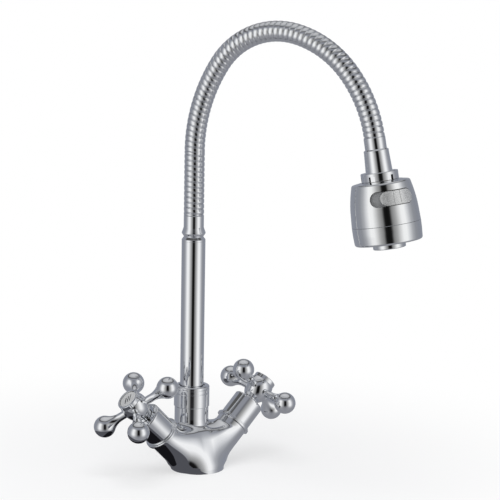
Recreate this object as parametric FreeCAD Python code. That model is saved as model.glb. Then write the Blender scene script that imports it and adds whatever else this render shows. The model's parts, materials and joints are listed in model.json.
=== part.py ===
import FreeCAD, Part
import math
import os

# Two handle kitchen faucet with a flexible ribbed gooseneck and a two mode spray head.
# Millimetres. +Z is up from the deck, +X runs along the valves to the cold side,
# -Y is the front. The origin is the middle of the foot, on the deck.

V = FreeCAD.Vector
O = V(0, 0, 0)
UP = V(0, 0, 1)

# ---- valve body ----
FOOT_R = 24.3            # foot on the deck
FOOT_H = 3.0             # straight edge of the foot
NECK_R = 15.5            # neck below the spout collar
NECK_Y = 10.5            # the neck leans back to this line
SWEEP_TOP = 46.0         # the neck is straight from here
SEAM_Z = 56.4            # joint line below the spout collar
BOSS_R = 13.9            # boss the spout collar is pressed on
BOSS_TOP = 60.4
BLEND_R = 20.0           # blend between the neck, the foot and the arms
BLEND_ON_FOOT = 0.825    # most of the foot's radius that the blend may take
BLEND_ON_NECK = 2.0      # most of the straight neck's height that it may take

# ---- the two valves, at 45 degrees ----
ARM_R0 = 14.2
ARM_R1 = 14.6
ARM_LIFT = 2.618         # height at which an arm's underside leaves the foot
VALVE_Z = ARM_LIFT - FOOT_R + ARM_R0 * math.sqrt(2)    # the valve axes cross here
ARM_END = 54.5           # end face of an arm, along the valve axis
CHAMBER_R = 10.2
CHAMBER_S = 36.6         # floor of the valve chamber
SEAT_R = 4.0
SEAT_S = 19.5
INLET_X = 11.5
INLET_R = 5.0            # M10 hose thread
INLET_DEPTH = 9.0
FEED_R = 3.5
CHANNEL_R = 3.0
STUD_Y = 11.0
STUD_R = 4.0             # M8 fixing stud
STUD_DEPTH = 14.0

# ---- spout swivel ----
SPOUT_BORE_R = 10.2
SPOUT_BORE_Z = 20.0
RUN = 0.08               # running fits, on the radius
GAP = 0.35               # moving faces that don't carry
SPIGOT_Z = 31.0
FLANGE_Z = 60.5
FLANGE_R = 12.9
RISER_R = 10.75
RISER_BORE = 9.8
RISER_Z = 62.5
RISER_TOP = 209.0
COLLAR_R = 16.2
COLLAR_TOP = 76.0
SHOULDER_Z = 64.1
RING_Z = (36.0, 46.0)    # O-ring grooves
RING_W = 2.4
RING_FLOOR = 8.5
RING_D = 1.6

# ---- gooseneck ----
SPOUT_AZ = -58.0         # the way the spout points
HOSE_Z = 233.0           # lower end of the ribbed hose
STRAIGHT = 57.0
BENDS = ((146.0, 33.0), (66.0, 72.0), (92.0, 36.0), (120.0, 29.0))
SECTIONS = 9
RIBS = 8                 # in each section
CREST_R = 9.15
GROOVE_R = 8.1
FLOOR_HALF = 0.25        # half the flat floor of a groove
FLANK = 0.7
HOSE_BORE = 6.4
END_GAP = 0.85           # from the cut plane to the end face of a section
BALL_R = 7.1
SOCKET_R = 7.4
NOSE_H = 3.9
NOSE_BORE = 5.0
NOSE_DEPTH = 4.0
TUBE_R = 4.5             # water tube inside the hose
TUBE_BORE = 3.2
TUBE_SEAT_R = 4.6
TUBE_MOUTH_R = 5.1       # the ferrule's bore widens to this where the tube comes in bent
TUBE_Z = 212.0
TUBE_END = 7.9           # past the end of the ribbed hose

# ---- bonnets, cartridges and handles, along the valve axis ----
BONNET_R = 14.4
BONNET_TOP = 81.5
BONNET_BORE = 13.0
NECK_HOLE_R = 7.8
HANDLE_NECK_R = 7.3
CARTRIDGE_R = 10.1
SPINDLE_R = 4.0
SPINDLE_TOP = 94.5
DISC_BORE = 8.0
DISC_R = 7.6
DISC_S = 44.0            # sealing plane of the two ceramic discs
DISC_GAP = 0.05
HUB_TOP = 103.2
BALL_S = 94.6            # plane of the four balls
KNOB_R = 9.85
KNOB_REACH = 34.8
SPOKE_R = 3.65
FLARE_R = 18.0
SPOKE_ROOT = 6.5
CAP_R = 10.6
CAP_TOP = 107.4
CAP_FLOOR = 104.6
INDEX_R = 8.7
SCREW_S = 98.0
TURNED = {"hot": 53.02, "cold": 16.57}
SIDE = {"hot": -1, "cold": 1}

# ---- spray head, along its axis from the end of the ribbed hose ----
NUT_TOP = 30.0
NUT_END = 37.4
NUT_R = 16.25
NUT_BORE = 12.15
HEAD_TOP = 37.6
EDGE_T = 39.1
SEAM_T = 75.2
SKIRT_END = 91.6
HEAD_SIDE = ((25.35, 39.1), (27.3, 47.5), (29.1, 57.9), (30.0, 75.2))
CORE_R = 24.9
CORE_T = 46.0
CAVITY_R = 20.0
CAVITY_TOP = 48.5
CAVITY_END = 73.0
SHELL_BORE = 25.0
SLOT_T = 52.0
SLOT_R = 6.65
SLOT_ENDS = (24.8, 80.7)
SLIDER_R = 6.35
SLIDER_ENDS = (25.0, 63.4)
SLIDER_IN = 25.3
SLIDER_PROUD = 0.8
SLIDER_LINES = (39.4, 52.0)
MODE_SWING = 17.5
DISC_EDGE = 19.5
STREAM_AT = 13.5         # rings of water ports
SPRAY_AT = 16.8
PORT_R = 1.9
TAB_AT = 44.0
TAB_FIT = 0.1            # behind the slider, which is round inside
SHAFT_R = 3.0
SHAFT_RUN = 0.06
PLATE_T = 86.0
PLATE_END = 89.0
PLATE_R = 26.1
NOZZLE_END = 96.6
JET_RINGS = ((17.2, 14), (21.5, 18))
JET_R = 1.1


def polar(r, angle, z=0.0):
    a = math.radians(angle)
    return V(r * math.cos(a), r * math.sin(a), z)


def outline(*corners):
    """Closed wire in the X-Z plane through (x, z) corners, with an optional rounding radius each."""
    count = len(corners)
    turns = []
    for i in range(count):
        here = V(corners[i][0], 0, corners[i][1])
        if len(corners[i]) < 3:
            turns.append((here, None, here))
            continue
        r = corners[i][2]
        before = corners[i - 1]
        after = corners[(i + 1) % count]
        a = (V(before[0], 0, before[1]) - here).normalize()
        b = (V(after[0], 0, after[1]) - here).normalize()
        half = a.getAngle(b) / 2
        back = r / math.tan(half)
        middle = here + (a + b).normalize() * (r / math.sin(half) - r)
        turns.append((here + a * back, middle, here + b * back))
    edges = []
    for i in range(count):
        start, middle, end = turns[i]
        if middle is not None:
            edges.append(Part.Arc(start, middle, end).toShape())
        following = turns[(i + 1) % count][0]
        if end.distanceToPoint(following) > 1e-6:
            edges.append(Part.makeLine(end, following))
    return Part.Wire(edges)


def turned(*corners):
    return Part.Face(outline(*corners)).revolve(O, UP, 360)


def turned_wire(edges):
    return Part.Face(Part.Wire(edges)).revolve(O, UP, 360)


def rod(r, z0, z1, x=0.0, y=0.0):
    return Part.makeCylinder(r, z1 - z0, V(x, y, z0))


def tube(r_out, r_in, z0, z1):
    return rod(r_out, z0, z1).cut(rod(r_in, z0 - 1, z1 + 1))


def between(r, start, end):
    way = end - start
    return Part.makeCylinder(r, way.Length, start, way)


def sector(r_in, r_out, z0, z1, start, end):
    """Part of a ring between two angles about Z."""
    face = Part.Face(outline((r_in, z0), (r_out, z0), (r_out, z1), (r_in, z1)))
    piece = face.revolve(O, UP, end - start)
    piece.rotate(O, UP, start)
    return piece


def hexagon(flats, z0, z1):
    corner = flats / 2 / math.cos(math.radians(30))
    points = [polar(corner, 60 * k, z0) for k in range(7)]
    return Part.Face(Part.makePolygon(points)).extrude(V(0, 0, z1 - z0))


def frame_at(origin, x_axis, z_axis):
    y_axis = z_axis.cross(x_axis)
    rows = []
    for k in range(3):
        rows += [x_axis[k], y_axis[k], z_axis[k], origin[k]]
    return FreeCAD.Placement(FreeCAD.Matrix(*rows, 0, 0, 0, 1))


def seat(shape, frame):
    placed = shape.copy()
    placed.Placement = frame.multiply(shape.Placement)
    return placed


def save(name, shape):
    if not shape.isValid():
        raise ValueError(name + " is not a valid shape")
    print(name, len(shape.Solids), round(shape.Volume, 1))
    shape.exportStep("parts/" + name + ".step")


# ---------------------------------------------------------------- frames

RISER = FreeCAD.Placement(V(0, NECK_Y, 0), FreeCAD.Rotation())
OUT = polar(1, SPOUT_AZ)
BINORMAL = UP.cross(OUT)
HOSE = STRAIGHT + sum(r * math.radians(turn) for r, turn in BENDS)
PITCH = HOSE / SECTIONS / RIBS


def valve_axis(side):
    return V(SIDE[side], 0, 1).normalize()


def valve_frame(side):
    return frame_at(V(0, 0, VALVE_Z), V(0, 1, 0), valve_axis(side))


def on_hose(s):
    """Distance out, height and lean from upright of the gooseneck centreline at length s."""
    if s <= STRAIGHT:
        return 0.0, HOSE_Z + s, 0.0
    left = s - STRAIGHT
    out = 0.0
    z = HOSE_Z + STRAIGHT
    lean = 0.0
    for r, turn in BENDS:
        step = min(left, r * math.radians(turn))
        new = lean + step / r
        out += r * (math.cos(lean) - math.cos(new))
        z += r * (math.sin(new) - math.sin(lean))
        lean = new
        left -= step
    return out + left * math.sin(lean), z + left * math.cos(lean), lean


def hose_point(s):
    out, z, lean = on_hose(s)
    return V(0, NECK_Y, z) + OUT * out


def hose_tangent(s):
    lean = on_hose(s)[2]
    return OUT * math.sin(lean) + UP * math.cos(lean)


def hose_frame(s):
    return frame_at(hose_point(s), BINORMAL, hose_tangent(s))


def tip_frame():
    """Frame of everything past the ribbed hose. X points away from the riser."""
    lean = on_hose(HOSE)[2]
    outward = OUT * -math.cos(lean) + UP * math.sin(lean)
    return frame_at(hose_point(HOSE), outward, hose_tangent(HOSE))


# ---------------------------------------------------------------- valve body

def body_horn():
    """Foot, sweep and neck as one smooth skin."""
    rings = [Part.Wire(Part.makeCircle(FOOT_R, O))]
    steps = 6
    for k in range(steps + 1):
        u = k / steps
        ease = u * u * (3 - 2 * u)
        z = FOOT_H + (SWEEP_TOP - FOOT_H) * u
        centre = V(0, NECK_Y * ease, z)
        rings.append(Part.Wire(Part.makeCircle(FOOT_R + (NECK_R - FOOT_R) * ease, centre)))
    rings.append(Part.Wire(Part.makeCircle(NECK_R, V(0, NECK_Y, SEAM_Z))))
    return Part.makeLoft(rings, True, False)


def body_skin():
    below = Part.makeBox(200, 200, 50, V(-100, -100, -50))
    arms = []
    for side in SIDE:
        arm = Part.makeCone(ARM_R0, ARM_R1, ARM_END, V(0, 0, VALVE_Z), valve_axis(side))
        arms.append(arm.cut(below))
    skin = body_horn().fuse(arms)
    seams = []
    for edge in skin.Edges:
        kinds = {type(face.Surface).__name__ for face in skin.ancestorsOfType(edge, Part.Face)}
        if edge.BoundBox.ZMax > 0.1 and "Cone" in kinds and len(kinds) > 1 and "Plane" not in kinds:
            seams.append(edge)
    blend = min(BLEND_R, BLEND_ON_FOOT * FOOT_R, BLEND_ON_NECK * (SEAM_Z - SWEEP_TOP))
    return skin.makeFillet(blend, seams)


def arm_bores(side):
    axis = valve_axis(side)
    start = V(0, 0, VALVE_Z)
    chamber = between(CHAMBER_R, start + axis * CHAMBER_S, start + axis * (ARM_END + 1))
    seat_hole = between(SEAT_R, start + axis * SEAT_S, start + axis * CHAMBER_S)
    x = SIDE[side] * INLET_X
    inlet = rod(INLET_R, -1, INLET_DEPTH, x)
    feed = rod(FEED_R, INLET_DEPTH - 1, 15.0, x)
    aside = V(-SIDE[side], 0, 1).normalize()
    channel = between(CHANNEL_R, start + axis * 45.0 + aside * 7.0, V(0, NECK_Y, 23.0))
    return [chamber, seat_hole, inlet, feed, channel]


def valve_body():
    body = body_skin()
    body = body.fuse(rod(BOSS_R, SEAM_Z - 2, BOSS_TOP, 0, NECK_Y))
    cuts = arm_bores("hot") + arm_bores("cold")
    cuts.append(rod(SPOUT_BORE_R, SPOUT_BORE_Z, BOSS_TOP + 1, 0, NECK_Y))
    cuts.append(rod(STUD_R, -1, STUD_DEPTH, 0, STUD_Y))
    cuts.append(rod(STUD_R, -1, STUD_DEPTH, 0, -STUD_Y))
    cuts.append(tube(22.5, 19.5, -1, 2.2))
    return body.cut(cuts)


def base_seal():
    return turned((19.6, 0.0), (22.4, 0.0), (22.4, 2.2), (19.6, 2.2))


def spout_collar():
    groove = COLLAR_R - 0.35
    r = COLLAR_R
    return turned(
        (BOSS_R + 0.05, SEAM_Z), (r, SEAM_Z, 0.3), (r, 69.0), (groove, 69.0), (groove, 69.6),
        (r, 69.6), (r, 72.7), (groove, 72.7), (groove, 73.3), (r, 73.3), (r, COLLAR_TOP, 1.6),
        (11.9, COLLAR_TOP, 0.3), (11.9, 72.0), (RISER_R + RUN, 72.0), (RISER_R + RUN, SHOULDER_Z),
        (13.2, SHOULDER_Z), (13.2, BOSS_TOP), (BOSS_R + 0.05, BOSS_TOP))


def spout_bush():
    return turned((RISER_R + GAP, 62.6), (13.1, 62.6), (13.1, SHOULDER_Z), (RISER_R + GAP, SHOULDER_Z))


# ---------------------------------------------------------------- one valve, along its axis

def bonnet():
    r = BONNET_R
    return turned(
        (BONNET_BORE, ARM_END), (16.6, ARM_END, 0.3), (16.6, 56.7, 0.5), (15.6, 56.7), (15.6, 57.9, 0.4),
        (r, 57.9), (r, BONNET_TOP, 1.5), (NECK_HOLE_R, BONNET_TOP, 0.3), (NECK_HOLE_R, 79.5),
        (BONNET_BORE, 79.5))


def cartridge_body():
    run = SPINDLE_R + 0.05
    shape = turned(
        (DISC_BORE, 37.5), (9.2, 37.5), (9.2, 50.5), (CARTRIDGE_R, 50.5), (CARTRIDGE_R, ARM_END),
        (10.6, ARM_END), (10.6, 59.0), (7.0, 59.0), (7.0, 78.0), (run, 78.0), (run, 50.0),
        (DISC_BORE, 50.0))
    collar = hexagon(21.6, ARM_END, 59.0).cut(rod(8.0, ARM_END - 1, 60))
    windows = Part.makeCylinder(2.2, 24, V(-12, 0, 46.6), V(1, 0, 0))
    return shape.fuse(collar).cut(windows)


def ports(z0, z1, angle):
    return [sector(2.5, 6.0, z0, z1, angle + 180 * k - 38, angle + 180 * k + 38) for k in range(2)]


def fixed_disc():
    return rod(7.7, 41.0, DISC_S).cut(ports(40, 45, 0))


def seat_seal():
    return tube(7.7, 6.4, CHAMBER_S, 41.0)


def turning_disc():
    disc = rod(DISC_R, DISC_S + DISC_GAP, 47.0).cut(ports(43, 48, 90))
    return disc.cut(Part.makeBox(12.4, 4.2, 2, V(-6.2, -2.1, 45.5)))


def spindle():
    shape = turned(
        (0, 47.0), (7.5, 47.0), (7.5, 49.9), (SPINDLE_R, 49.9), (SPINDLE_R, SPINDLE_TOP),
        (2.0, SPINDLE_TOP), (2.0, 82.0), (0, 82.0))
    tongue = Part.makeBox(12, 4, 1.9, V(-6, -2, 45.6))
    return shape.fuse(tongue)


def hub():
    """Barrel shaped hub with the bore for the spindle and the recess for the screw."""
    bore = SPINDLE_R + 0.05
    points = [(HANDLE_NECK_R, 84.0), (10.9, HUB_TOP), (4.5, HUB_TOP), (4.5, SCREW_S), (2.25, SCREW_S),
              (2.25, SPINDLE_TOP), (bore, SPINDLE_TOP), (bore, 79.6), (HANDLE_NECK_R, 79.6),
              (HANDLE_NECK_R, 84.0)]
    corners = [V(x, 0, z) for x, z in points]
    edges = [Part.Arc(corners[0], V(12.0, 0, 93.2), corners[1]).toShape()]
    for k in range(1, len(corners) - 1):
        edges.append(Part.makeLine(corners[k], corners[k + 1]))
    return turned_wire(edges)


def knob():
    """One spoke with its ball, along X. The spoke flares into the ball without an edge."""
    down = SPOKE_R + FLARE_R
    reach = FLARE_R + KNOB_R
    across = math.sqrt(reach * reach - down * down)
    start = V(KNOB_REACH - across, 0, SPOKE_R)
    ball = V(KNOB_REACH, 0, 0)
    flare = start + V(0, 0, FLARE_R)
    swing = math.atan2(across, down)
    dip = flare + V(math.sin(swing / 2), 0, -math.cos(swing / 2)) * FLARE_R
    touch = ball + (flare - ball) * (KNOB_R / reach)
    top = ball + V(0, 0, KNOB_R)
    behind = ball + V(-math.sin(swing / 2), 0, math.cos(swing / 2)) * KNOB_R
    ahead = ball + V(1, 0, 1).normalize() * KNOB_R
    tip = ball + V(KNOB_R, 0, 0)
    root = V(SPOKE_ROOT, 0, 0)
    edge = V(SPOKE_ROOT, 0, SPOKE_R)
    edges = [Part.makeLine(root, edge),
             Part.makeLine(edge, start),
             Part.Arc(start, dip, touch).toShape(),
             Part.Arc(touch, behind, top).toShape(),
             Part.Arc(top, ahead, tip).toShape(),
             Part.makeLine(tip, root)]
    shape = Part.Face(Part.Wire(edges)).revolve(O, V(1, 0, 0), 360)
    shape.translate(V(0, 0, BALL_S))
    return shape


def handle(side):
    knobs = []
    for k in range(4):
        arm = knob()
        arm.rotate(O, UP, TURNED[side] + 90 * k)
        knobs.append(arm)
    return hub().fuse(knobs)


def cap_ring():
    return turned(
        (0, 101.2), (4.4, 101.2), (4.4, HUB_TOP), (CAP_R, HUB_TOP, 0.3), (CAP_R, CAP_TOP, 0.7),
        (INDEX_R + 0.1, CAP_TOP, 0.3), (INDEX_R + 0.1, CAP_FLOOR), (0, CAP_FLOOR))


def index_disc():
    return turned((0, CAP_FLOOR), (INDEX_R, CAP_FLOOR), (INDEX_R, 106.7, 0.5), (0, 106.7))


def handle_screw():
    shape = turned(
        (0, 84.0), (1.95, 84.0), (1.95, SCREW_S), (3.75, SCREW_S), (3.75, SCREW_S + 2.6),
        (0, SCREW_S + 2.6))
    return shape.cut(hexagon(2.5, SCREW_S + 1.0, SCREW_S + 3))


# ---------------------------------------------------------------- spout, along the riser

def spout_spigot():
    r = SPOUT_BORE_R - RUN
    corners = [(7.5, SPIGOT_Z), (r, SPIGOT_Z)]
    for z in RING_Z:
        corners += [(r, z), (RING_FLOOR, z), (RING_FLOOR, z + RING_W), (r, z + RING_W)]
    corners += [(r, FLANGE_Z), (FLANGE_R, FLANGE_Z), (FLANGE_R, RISER_Z), (9.7, RISER_Z), (9.7, 68.0),
                (7.5, 68.0)]
    return turned(*corners)


def spout_o_rings():
    rings = []
    for z in RING_Z:
        major = RING_FLOOR + RING_D / 2
        rings.append(Part.makeTorus(major, RING_D / 2, V(0, 0, z + RING_W / 2)))
    return Part.makeCompound(rings)


def riser_tube():
    return turned((RISER_BORE, RISER_Z), (RISER_R, RISER_Z), (RISER_R, RISER_TOP), (RISER_BORE, RISER_TOP))


def lower_ferrule():
    return turned(
        (TUBE_BORE, 200.0), (9.75, 200.0, 0.3), (9.75, RISER_TOP), (RISER_R, RISER_TOP),
        (RISER_R, 210.6, 1.0), (8.75, 213.2, 0.4), (10.95, 216.4, 1.6), (9.1, 221.6, 2.5),
        (9.1, 232.2), (8.4, HOSE_Z), (6.3, HOSE_Z), (6.3, HOSE_Z + 8), (TUBE_SEAT_R, HOSE_Z + 8),
        (TUBE_SEAT_R, TUBE_Z), (TUBE_BORE, TUBE_Z))


# ---------------------------------------------------------------- gooseneck

def ring(s, r):
    circle = Part.makeCircle(r)
    circle.Placement = hose_frame(s)
    return Part.Wire(circle)


def rib_rings(index):
    """Circles of the ribbed skin of one section, from its lower to its upper end."""
    start = index * RIBS * PITCH
    end = start + RIBS * PITCH
    crest = FLOOR_HALF + FLANK
    near = GROOVE_R + (CREST_R - GROOVE_R) * (END_GAP - FLOOR_HALF) / FLANK
    rings = []
    if index == 0:
        rings += [ring(start, GROOVE_R), ring(start + FLOOR_HALF, GROOVE_R)]
    else:
        rings.append(ring(start + END_GAP, near))
    for k in range(RIBS):
        s = start + k * PITCH
        rings += [ring(s + crest, CREST_R), ring(s + PITCH - crest, CREST_R)]
        if k < RIBS - 1:
            rings += [ring(s + PITCH - FLOOR_HALF, GROOVE_R), ring(s + PITCH + FLOOR_HALF, GROOVE_R)]
    if index == SECTIONS - 1:
        rings += [ring(end - FLOOR_HALF, GROOVE_R), ring(end, GROOVE_R)]
    else:
        rings.append(ring(end - END_GAP, near))
    return rings


def section_bore(index):
    start = index * RIBS * PITCH
    stops = [start + k * PITCH for k in range(RIBS)]
    end = start + RIBS * PITCH
    if index == SECTIONS - 1:
        stops.append(end)
    else:
        stops[-1] = end - NOSE_DEPTH
    return Part.makeLoft([ring(s, HOSE_BORE) for s in stops], True, True)


def nose(s):
    """Ball end that seats in the socket of the next section."""
    ball = Part.makeSphere(BALL_R)
    ball = ball.common(rod(BALL_R + 1, -2.0, NOSE_H))
    return seat(ball, hose_frame(s))


def gooseneck(index):
    skin = Part.makeLoft(rib_rings(index), True, True)
    shape = skin
    end = (index + 1) * RIBS * PITCH
    if index < SECTIONS - 1:
        shape = shape.fuse(nose(end))
        shape = shape.cut(seat(rod(NOSE_BORE, -NOSE_DEPTH - 0.5, NOSE_H + 1), hose_frame(end)))
    shape = shape.cut(section_bore(index))
    if index > 0:
        socket = Part.makeSphere(SOCKET_R)
        shape = shape.cut(seat(socket, hose_frame(index * RIBS * PITCH)))
    return shape


def tube_run(r, start_z, end_t):
    """Round bar along the whole gooseneck centreline."""
    pieces = []
    centre = V(0, NECK_Y, 0)
    bend_z = HOSE_Z + STRAIGHT
    pieces.append(Part.makeCylinder(r, bend_z - start_z, centre + UP * start_z))
    s = STRAIGHT
    for radius, turn in BENDS:
        lean = on_hose(s)[2]
        inward = OUT * math.cos(lean) - UP * math.sin(lean)
        pivot = hose_point(s) + inward * radius
        disc = Part.Face(ring(s, r))
        pieces.append(disc.revolve(pivot, BINORMAL, turn))
        s += radius * math.radians(turn)
    pieces.append(Part.makeCylinder(r, end_t, hose_point(HOSE), hose_tangent(HOSE)))
    return pieces[0].fuse(pieces[1:]).removeSplitter()


def inner_hose():
    return tube_run(TUBE_R, TUBE_Z, TUBE_END).cut(tube_run(TUBE_BORE, TUBE_Z - 1, TUBE_END + 1))


# ---------------------------------------------------------------- union and spray head, along the head axis

def upper_ferrule():
    return turned(
        (TUBE_SEAT_R, 0.0), (TUBE_MOUTH_R, -6.0), (6.0, -6.0), (6.0, 0.0), (9.4, 0.0, 0.7), (9.4, 10.3, 0.4), (10.85, 11.3, 0.7),
        (10.75, 13.0), (11.6, NUT_TOP), (12.05, NUT_TOP), (12.05, 33.5), (TUBE_BORE, 33.5),
        (TUBE_BORE, 8.0), (TUBE_SEAT_R, 8.0))


def collar_washer():
    return tube(11.5, 6.0, 33.5, 34.5)


def head_collar():
    shape = turned(
        (NUT_BORE, NUT_TOP), (NUT_R, NUT_TOP, 0.8), (NUT_R, NUT_END, 0.4), (9.08, NUT_END), (9.08, 36.0),
        (NUT_BORE, 36.0))
    notches = []
    for k in range(6):
        notch = Part.makeBox(4, 5.5, 6, V(14.4, -2.75, NUT_END - 4.5))
        notch.rotate(O, UP, 60 * k + 36.6)
        notches.append(notch)
    return shape.cut(notches)


def head_inlet():
    return turned(
        (5.0, 34.6), (11.8, 34.6), (11.8, 35.9), (9.0, 35.9), (9.0, 40.6), (14.0, 40.6), (14.0, CORE_T),
        (5.0, CORE_T))


def head_side(grow, first, last):
    """Corners of the side of the head, from top to bottom, moved out by grow."""
    corners = [(r + grow, t) for r, t in HEAD_SIDE]
    corners[0] = corners[0] + first
    corners[1] = corners[1] + (100.0,)
    corners[2] = corners[2] + (100.0,)
    return corners[:last]


def slot_shape(r, ends):
    parts = [sector(22.0, 34.0, SLOT_T - r, SLOT_T + r, *ends)]
    for angle in ends:
        parts.append(Part.makeCylinder(r, 12, polar(22, angle, SLOT_T), polar(1, angle)))
    return parts[0].fuse(parts[1:])


def head_shell():
    shape = turned(
        (12.0, HEAD_TOP), (17.0, HEAD_TOP), *head_side(0, (2.0,), 4), (SHELL_BORE, SEAM_T),
        (SHELL_BORE, CORE_T), (22.3, CORE_T), (22.3, 40.6), (12.0, 40.6))
    return shape.cut(slot_shape(SLOT_R, SLOT_ENDS))


def head_skirt():
    return turned(
        (24.0, SEAM_T), (30.0, SEAM_T, 0.25), (29.95, 82.0, 60.0), (29.4, SKIRT_END, 2.0),
        (PLATE_R + 0.1, SKIRT_END, 0.5), (PLATE_R + 0.1, PLATE_T), (24.0, PLATE_T))


def port_holes(radius, shift, z0, z1):
    return [rod(PORT_R, z0, z1, *polar(radius, 60 * k + shift)[:2]) for k in range(6)]


def head_core():
    """Water way block. The diverter disc turns in its cavity."""
    boss_end = 80.0
    shape = rod(CORE_R, CORE_T, SEAM_T).fuse(rod(8.0, SEAM_T - 1, boss_end))
    cuts = [rod(CAVITY_R, CAVITY_TOP, CAVITY_END), rod(5.0, CORE_T - 1, CAVITY_TOP + 1)]
    cuts.append(rod(SHAFT_R + SHAFT_RUN, CAVITY_END - 1, boss_end - 1))
    cuts.append(sector(19.0, 26.0, SLOT_T - 2.5, SLOT_T + 2.5, TAB_AT - 9, TAB_AT + MODE_SWING + 9))
    cuts += port_holes(STREAM_AT, 0, 72, 77)
    cuts += port_holes(SPRAY_AT, 30, 72, 77)
    return shape.cut(cuts)


def diverter_disc():
    disc = rod(DISC_EDGE, 70.0, CAVITY_END - 0.3).fuse(rod(SHAFT_R, 69.0, 78.7))
    disc = disc.cut(port_holes(STREAM_AT, 0, 69, 74) + port_holes(SPRAY_AT, 30 - MODE_SWING, 69, 74))
    low = SLOT_T - 2
    end = SLIDER_IN - TAB_FIT
    bracket = outline((15.8, 70.5), (15.8, low), (end, low), (end, low + 4), (18.8, low + 4), (18.8, 70.5))
    arm = Part.Face(bracket).extrude(V(0, 4, 0))
    arm.translate(V(0, -2, 0))
    arm.rotate(O, UP, TAB_AT)
    return disc.fuse(arm)


def mode_slider():
    side = head_side(SLIDER_PROUD, (), 4)
    layer = turned((SLIDER_IN, 40.0), *side, (SLIDER_IN, SEAM_T))
    shape = layer.common(slot_shape(SLIDER_R, SLIDER_ENDS))
    lines = []
    for angle in SLIDER_LINES:
        line = Part.makeBox(3.0, 0.5, 16.0, V(0, -0.25, -8))
        line.rotate(O, V(0, 1, 0), 10.0)
        line.translate(V(28.5, 0, SLOT_T))
        line.rotate(O, UP, angle)
        lines.append(line)
    return shape.cut(lines)


def jet_spots():
    spots = []
    for radius, count in JET_RINGS:
        spots += [polar(radius, 360.0 * k / count) for k in range(count)]
    return spots


def spray_plate():
    plate = tube(PLATE_R, 11.5, PLATE_T, PLATE_END)
    return plate.cut([rod(JET_R + 0.05, PLATE_T - 1, PLATE_END + 1, p.x, p.y) for p in jet_spots()])


def spray_jets():
    jets = []
    for p in jet_spots():
        jet = turned((0.5, PLATE_T - 0.8), (1.6, PLATE_T - 0.8), (1.6, PLATE_T), (JET_R, PLATE_T),
                     (JET_R - 0.2, PLATE_END + 1.0), (0.5, PLATE_END + 1.0))
        jet.translate(p)
        jets.append(jet)
    return Part.makeCompound(jets)


def nozzle_ring():
    return turned((11.5, PLATE_END), (14.25, PLATE_END), (14.25, NOZZLE_END, 0.8), (11.5, NOZZLE_END, 0.4))


def aerator_insert():
    shape = turned((9.6, 84.5), (13.0, 84.5), (13.0, PLATE_T), (11.4, PLATE_T), (11.4, 95.4), (9.6, 95.4))
    bars = []
    for k in range(-3, 4):
        bars.append(Part.makeBox(22, 0.7, 1.2, V(-11, 2.6 * k - 0.35, 93.0)))
        bars.append(Part.makeBox(0.7, 22, 1.2, V(2.6 * k - 0.35, -11, 93.0)))
    mesh = bars[0].fuse(bars[1:]).common(rod(10.4, 92.5, 95.0))
    return shape.fuse(mesh)


# ---------------------------------------------------------------- write every part

def write_body():
    save("valve_body", valve_body())
    save("base_seal", base_seal())
    save("spout_collar", seat(spout_collar(), RISER))
    save("spout_bush", seat(spout_bush(), RISER))


def write_valve(side):
    frame = valve_frame(side)
    save(side + "_bonnet", seat(bonnet(), frame))
    save(side + "_cartridge", seat(cartridge_body(), frame))
    save(side + "_fixed_disc", seat(fixed_disc(), frame))
    save(side + "_seat_seal", seat(seat_seal(), frame))
    save(side + "_turning_disc", seat(turning_disc(), frame))
    save(side + "_spindle", seat(spindle(), frame))
    save(side + "_handle", seat(handle(side), frame))
    save(side + "_cap_ring", seat(cap_ring(), frame))
    save(side + "_index_disc", seat(index_disc(), frame))
    save(side + "_handle_screw", seat(handle_screw(), frame))


def write_spout():
    save("spout_spigot", seat(spout_spigot(), RISER))
    save("spout_o_rings", seat(spout_o_rings(), RISER))
    save("riser_tube", seat(riser_tube(), RISER))
    save("lower_ferrule", seat(lower_ferrule(), RISER))
    for index in range(SECTIONS):
        save("gooseneck_" + str(index + 1), gooseneck(index))
    save("inner_hose", inner_hose())


def write_head():
    frame = tip_frame()
    save("upper_ferrule", seat(upper_ferrule(), frame))
    save("collar_washer", seat(collar_washer(), frame))
    save("head_collar", seat(head_collar(), frame))
    save("head_inlet", seat(head_inlet(), frame))
    save("head_shell", seat(head_shell(), frame))
    save("head_skirt", seat(head_skirt(), frame))
    save("head_core", seat(head_core(), frame))
    save("diverter_disc", seat(diverter_disc(), frame))
    save("mode_slider", seat(mode_slider(), frame))
    save("spray_plate", seat(spray_plate(), frame))
    save("spray_jets", seat(spray_jets(), frame))
    save("nozzle_ring", seat(nozzle_ring(), frame))
    save("aerator_insert", seat(aerator_insert(), frame))


os.makedirs("parts", exist_ok=True)
write_body()
write_valve("hot")
write_valve("cold")
write_spout()
write_head()
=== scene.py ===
import json
import math

import bmesh
import bpy
import numpy as np
from mathutils import Matrix, Vector

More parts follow.
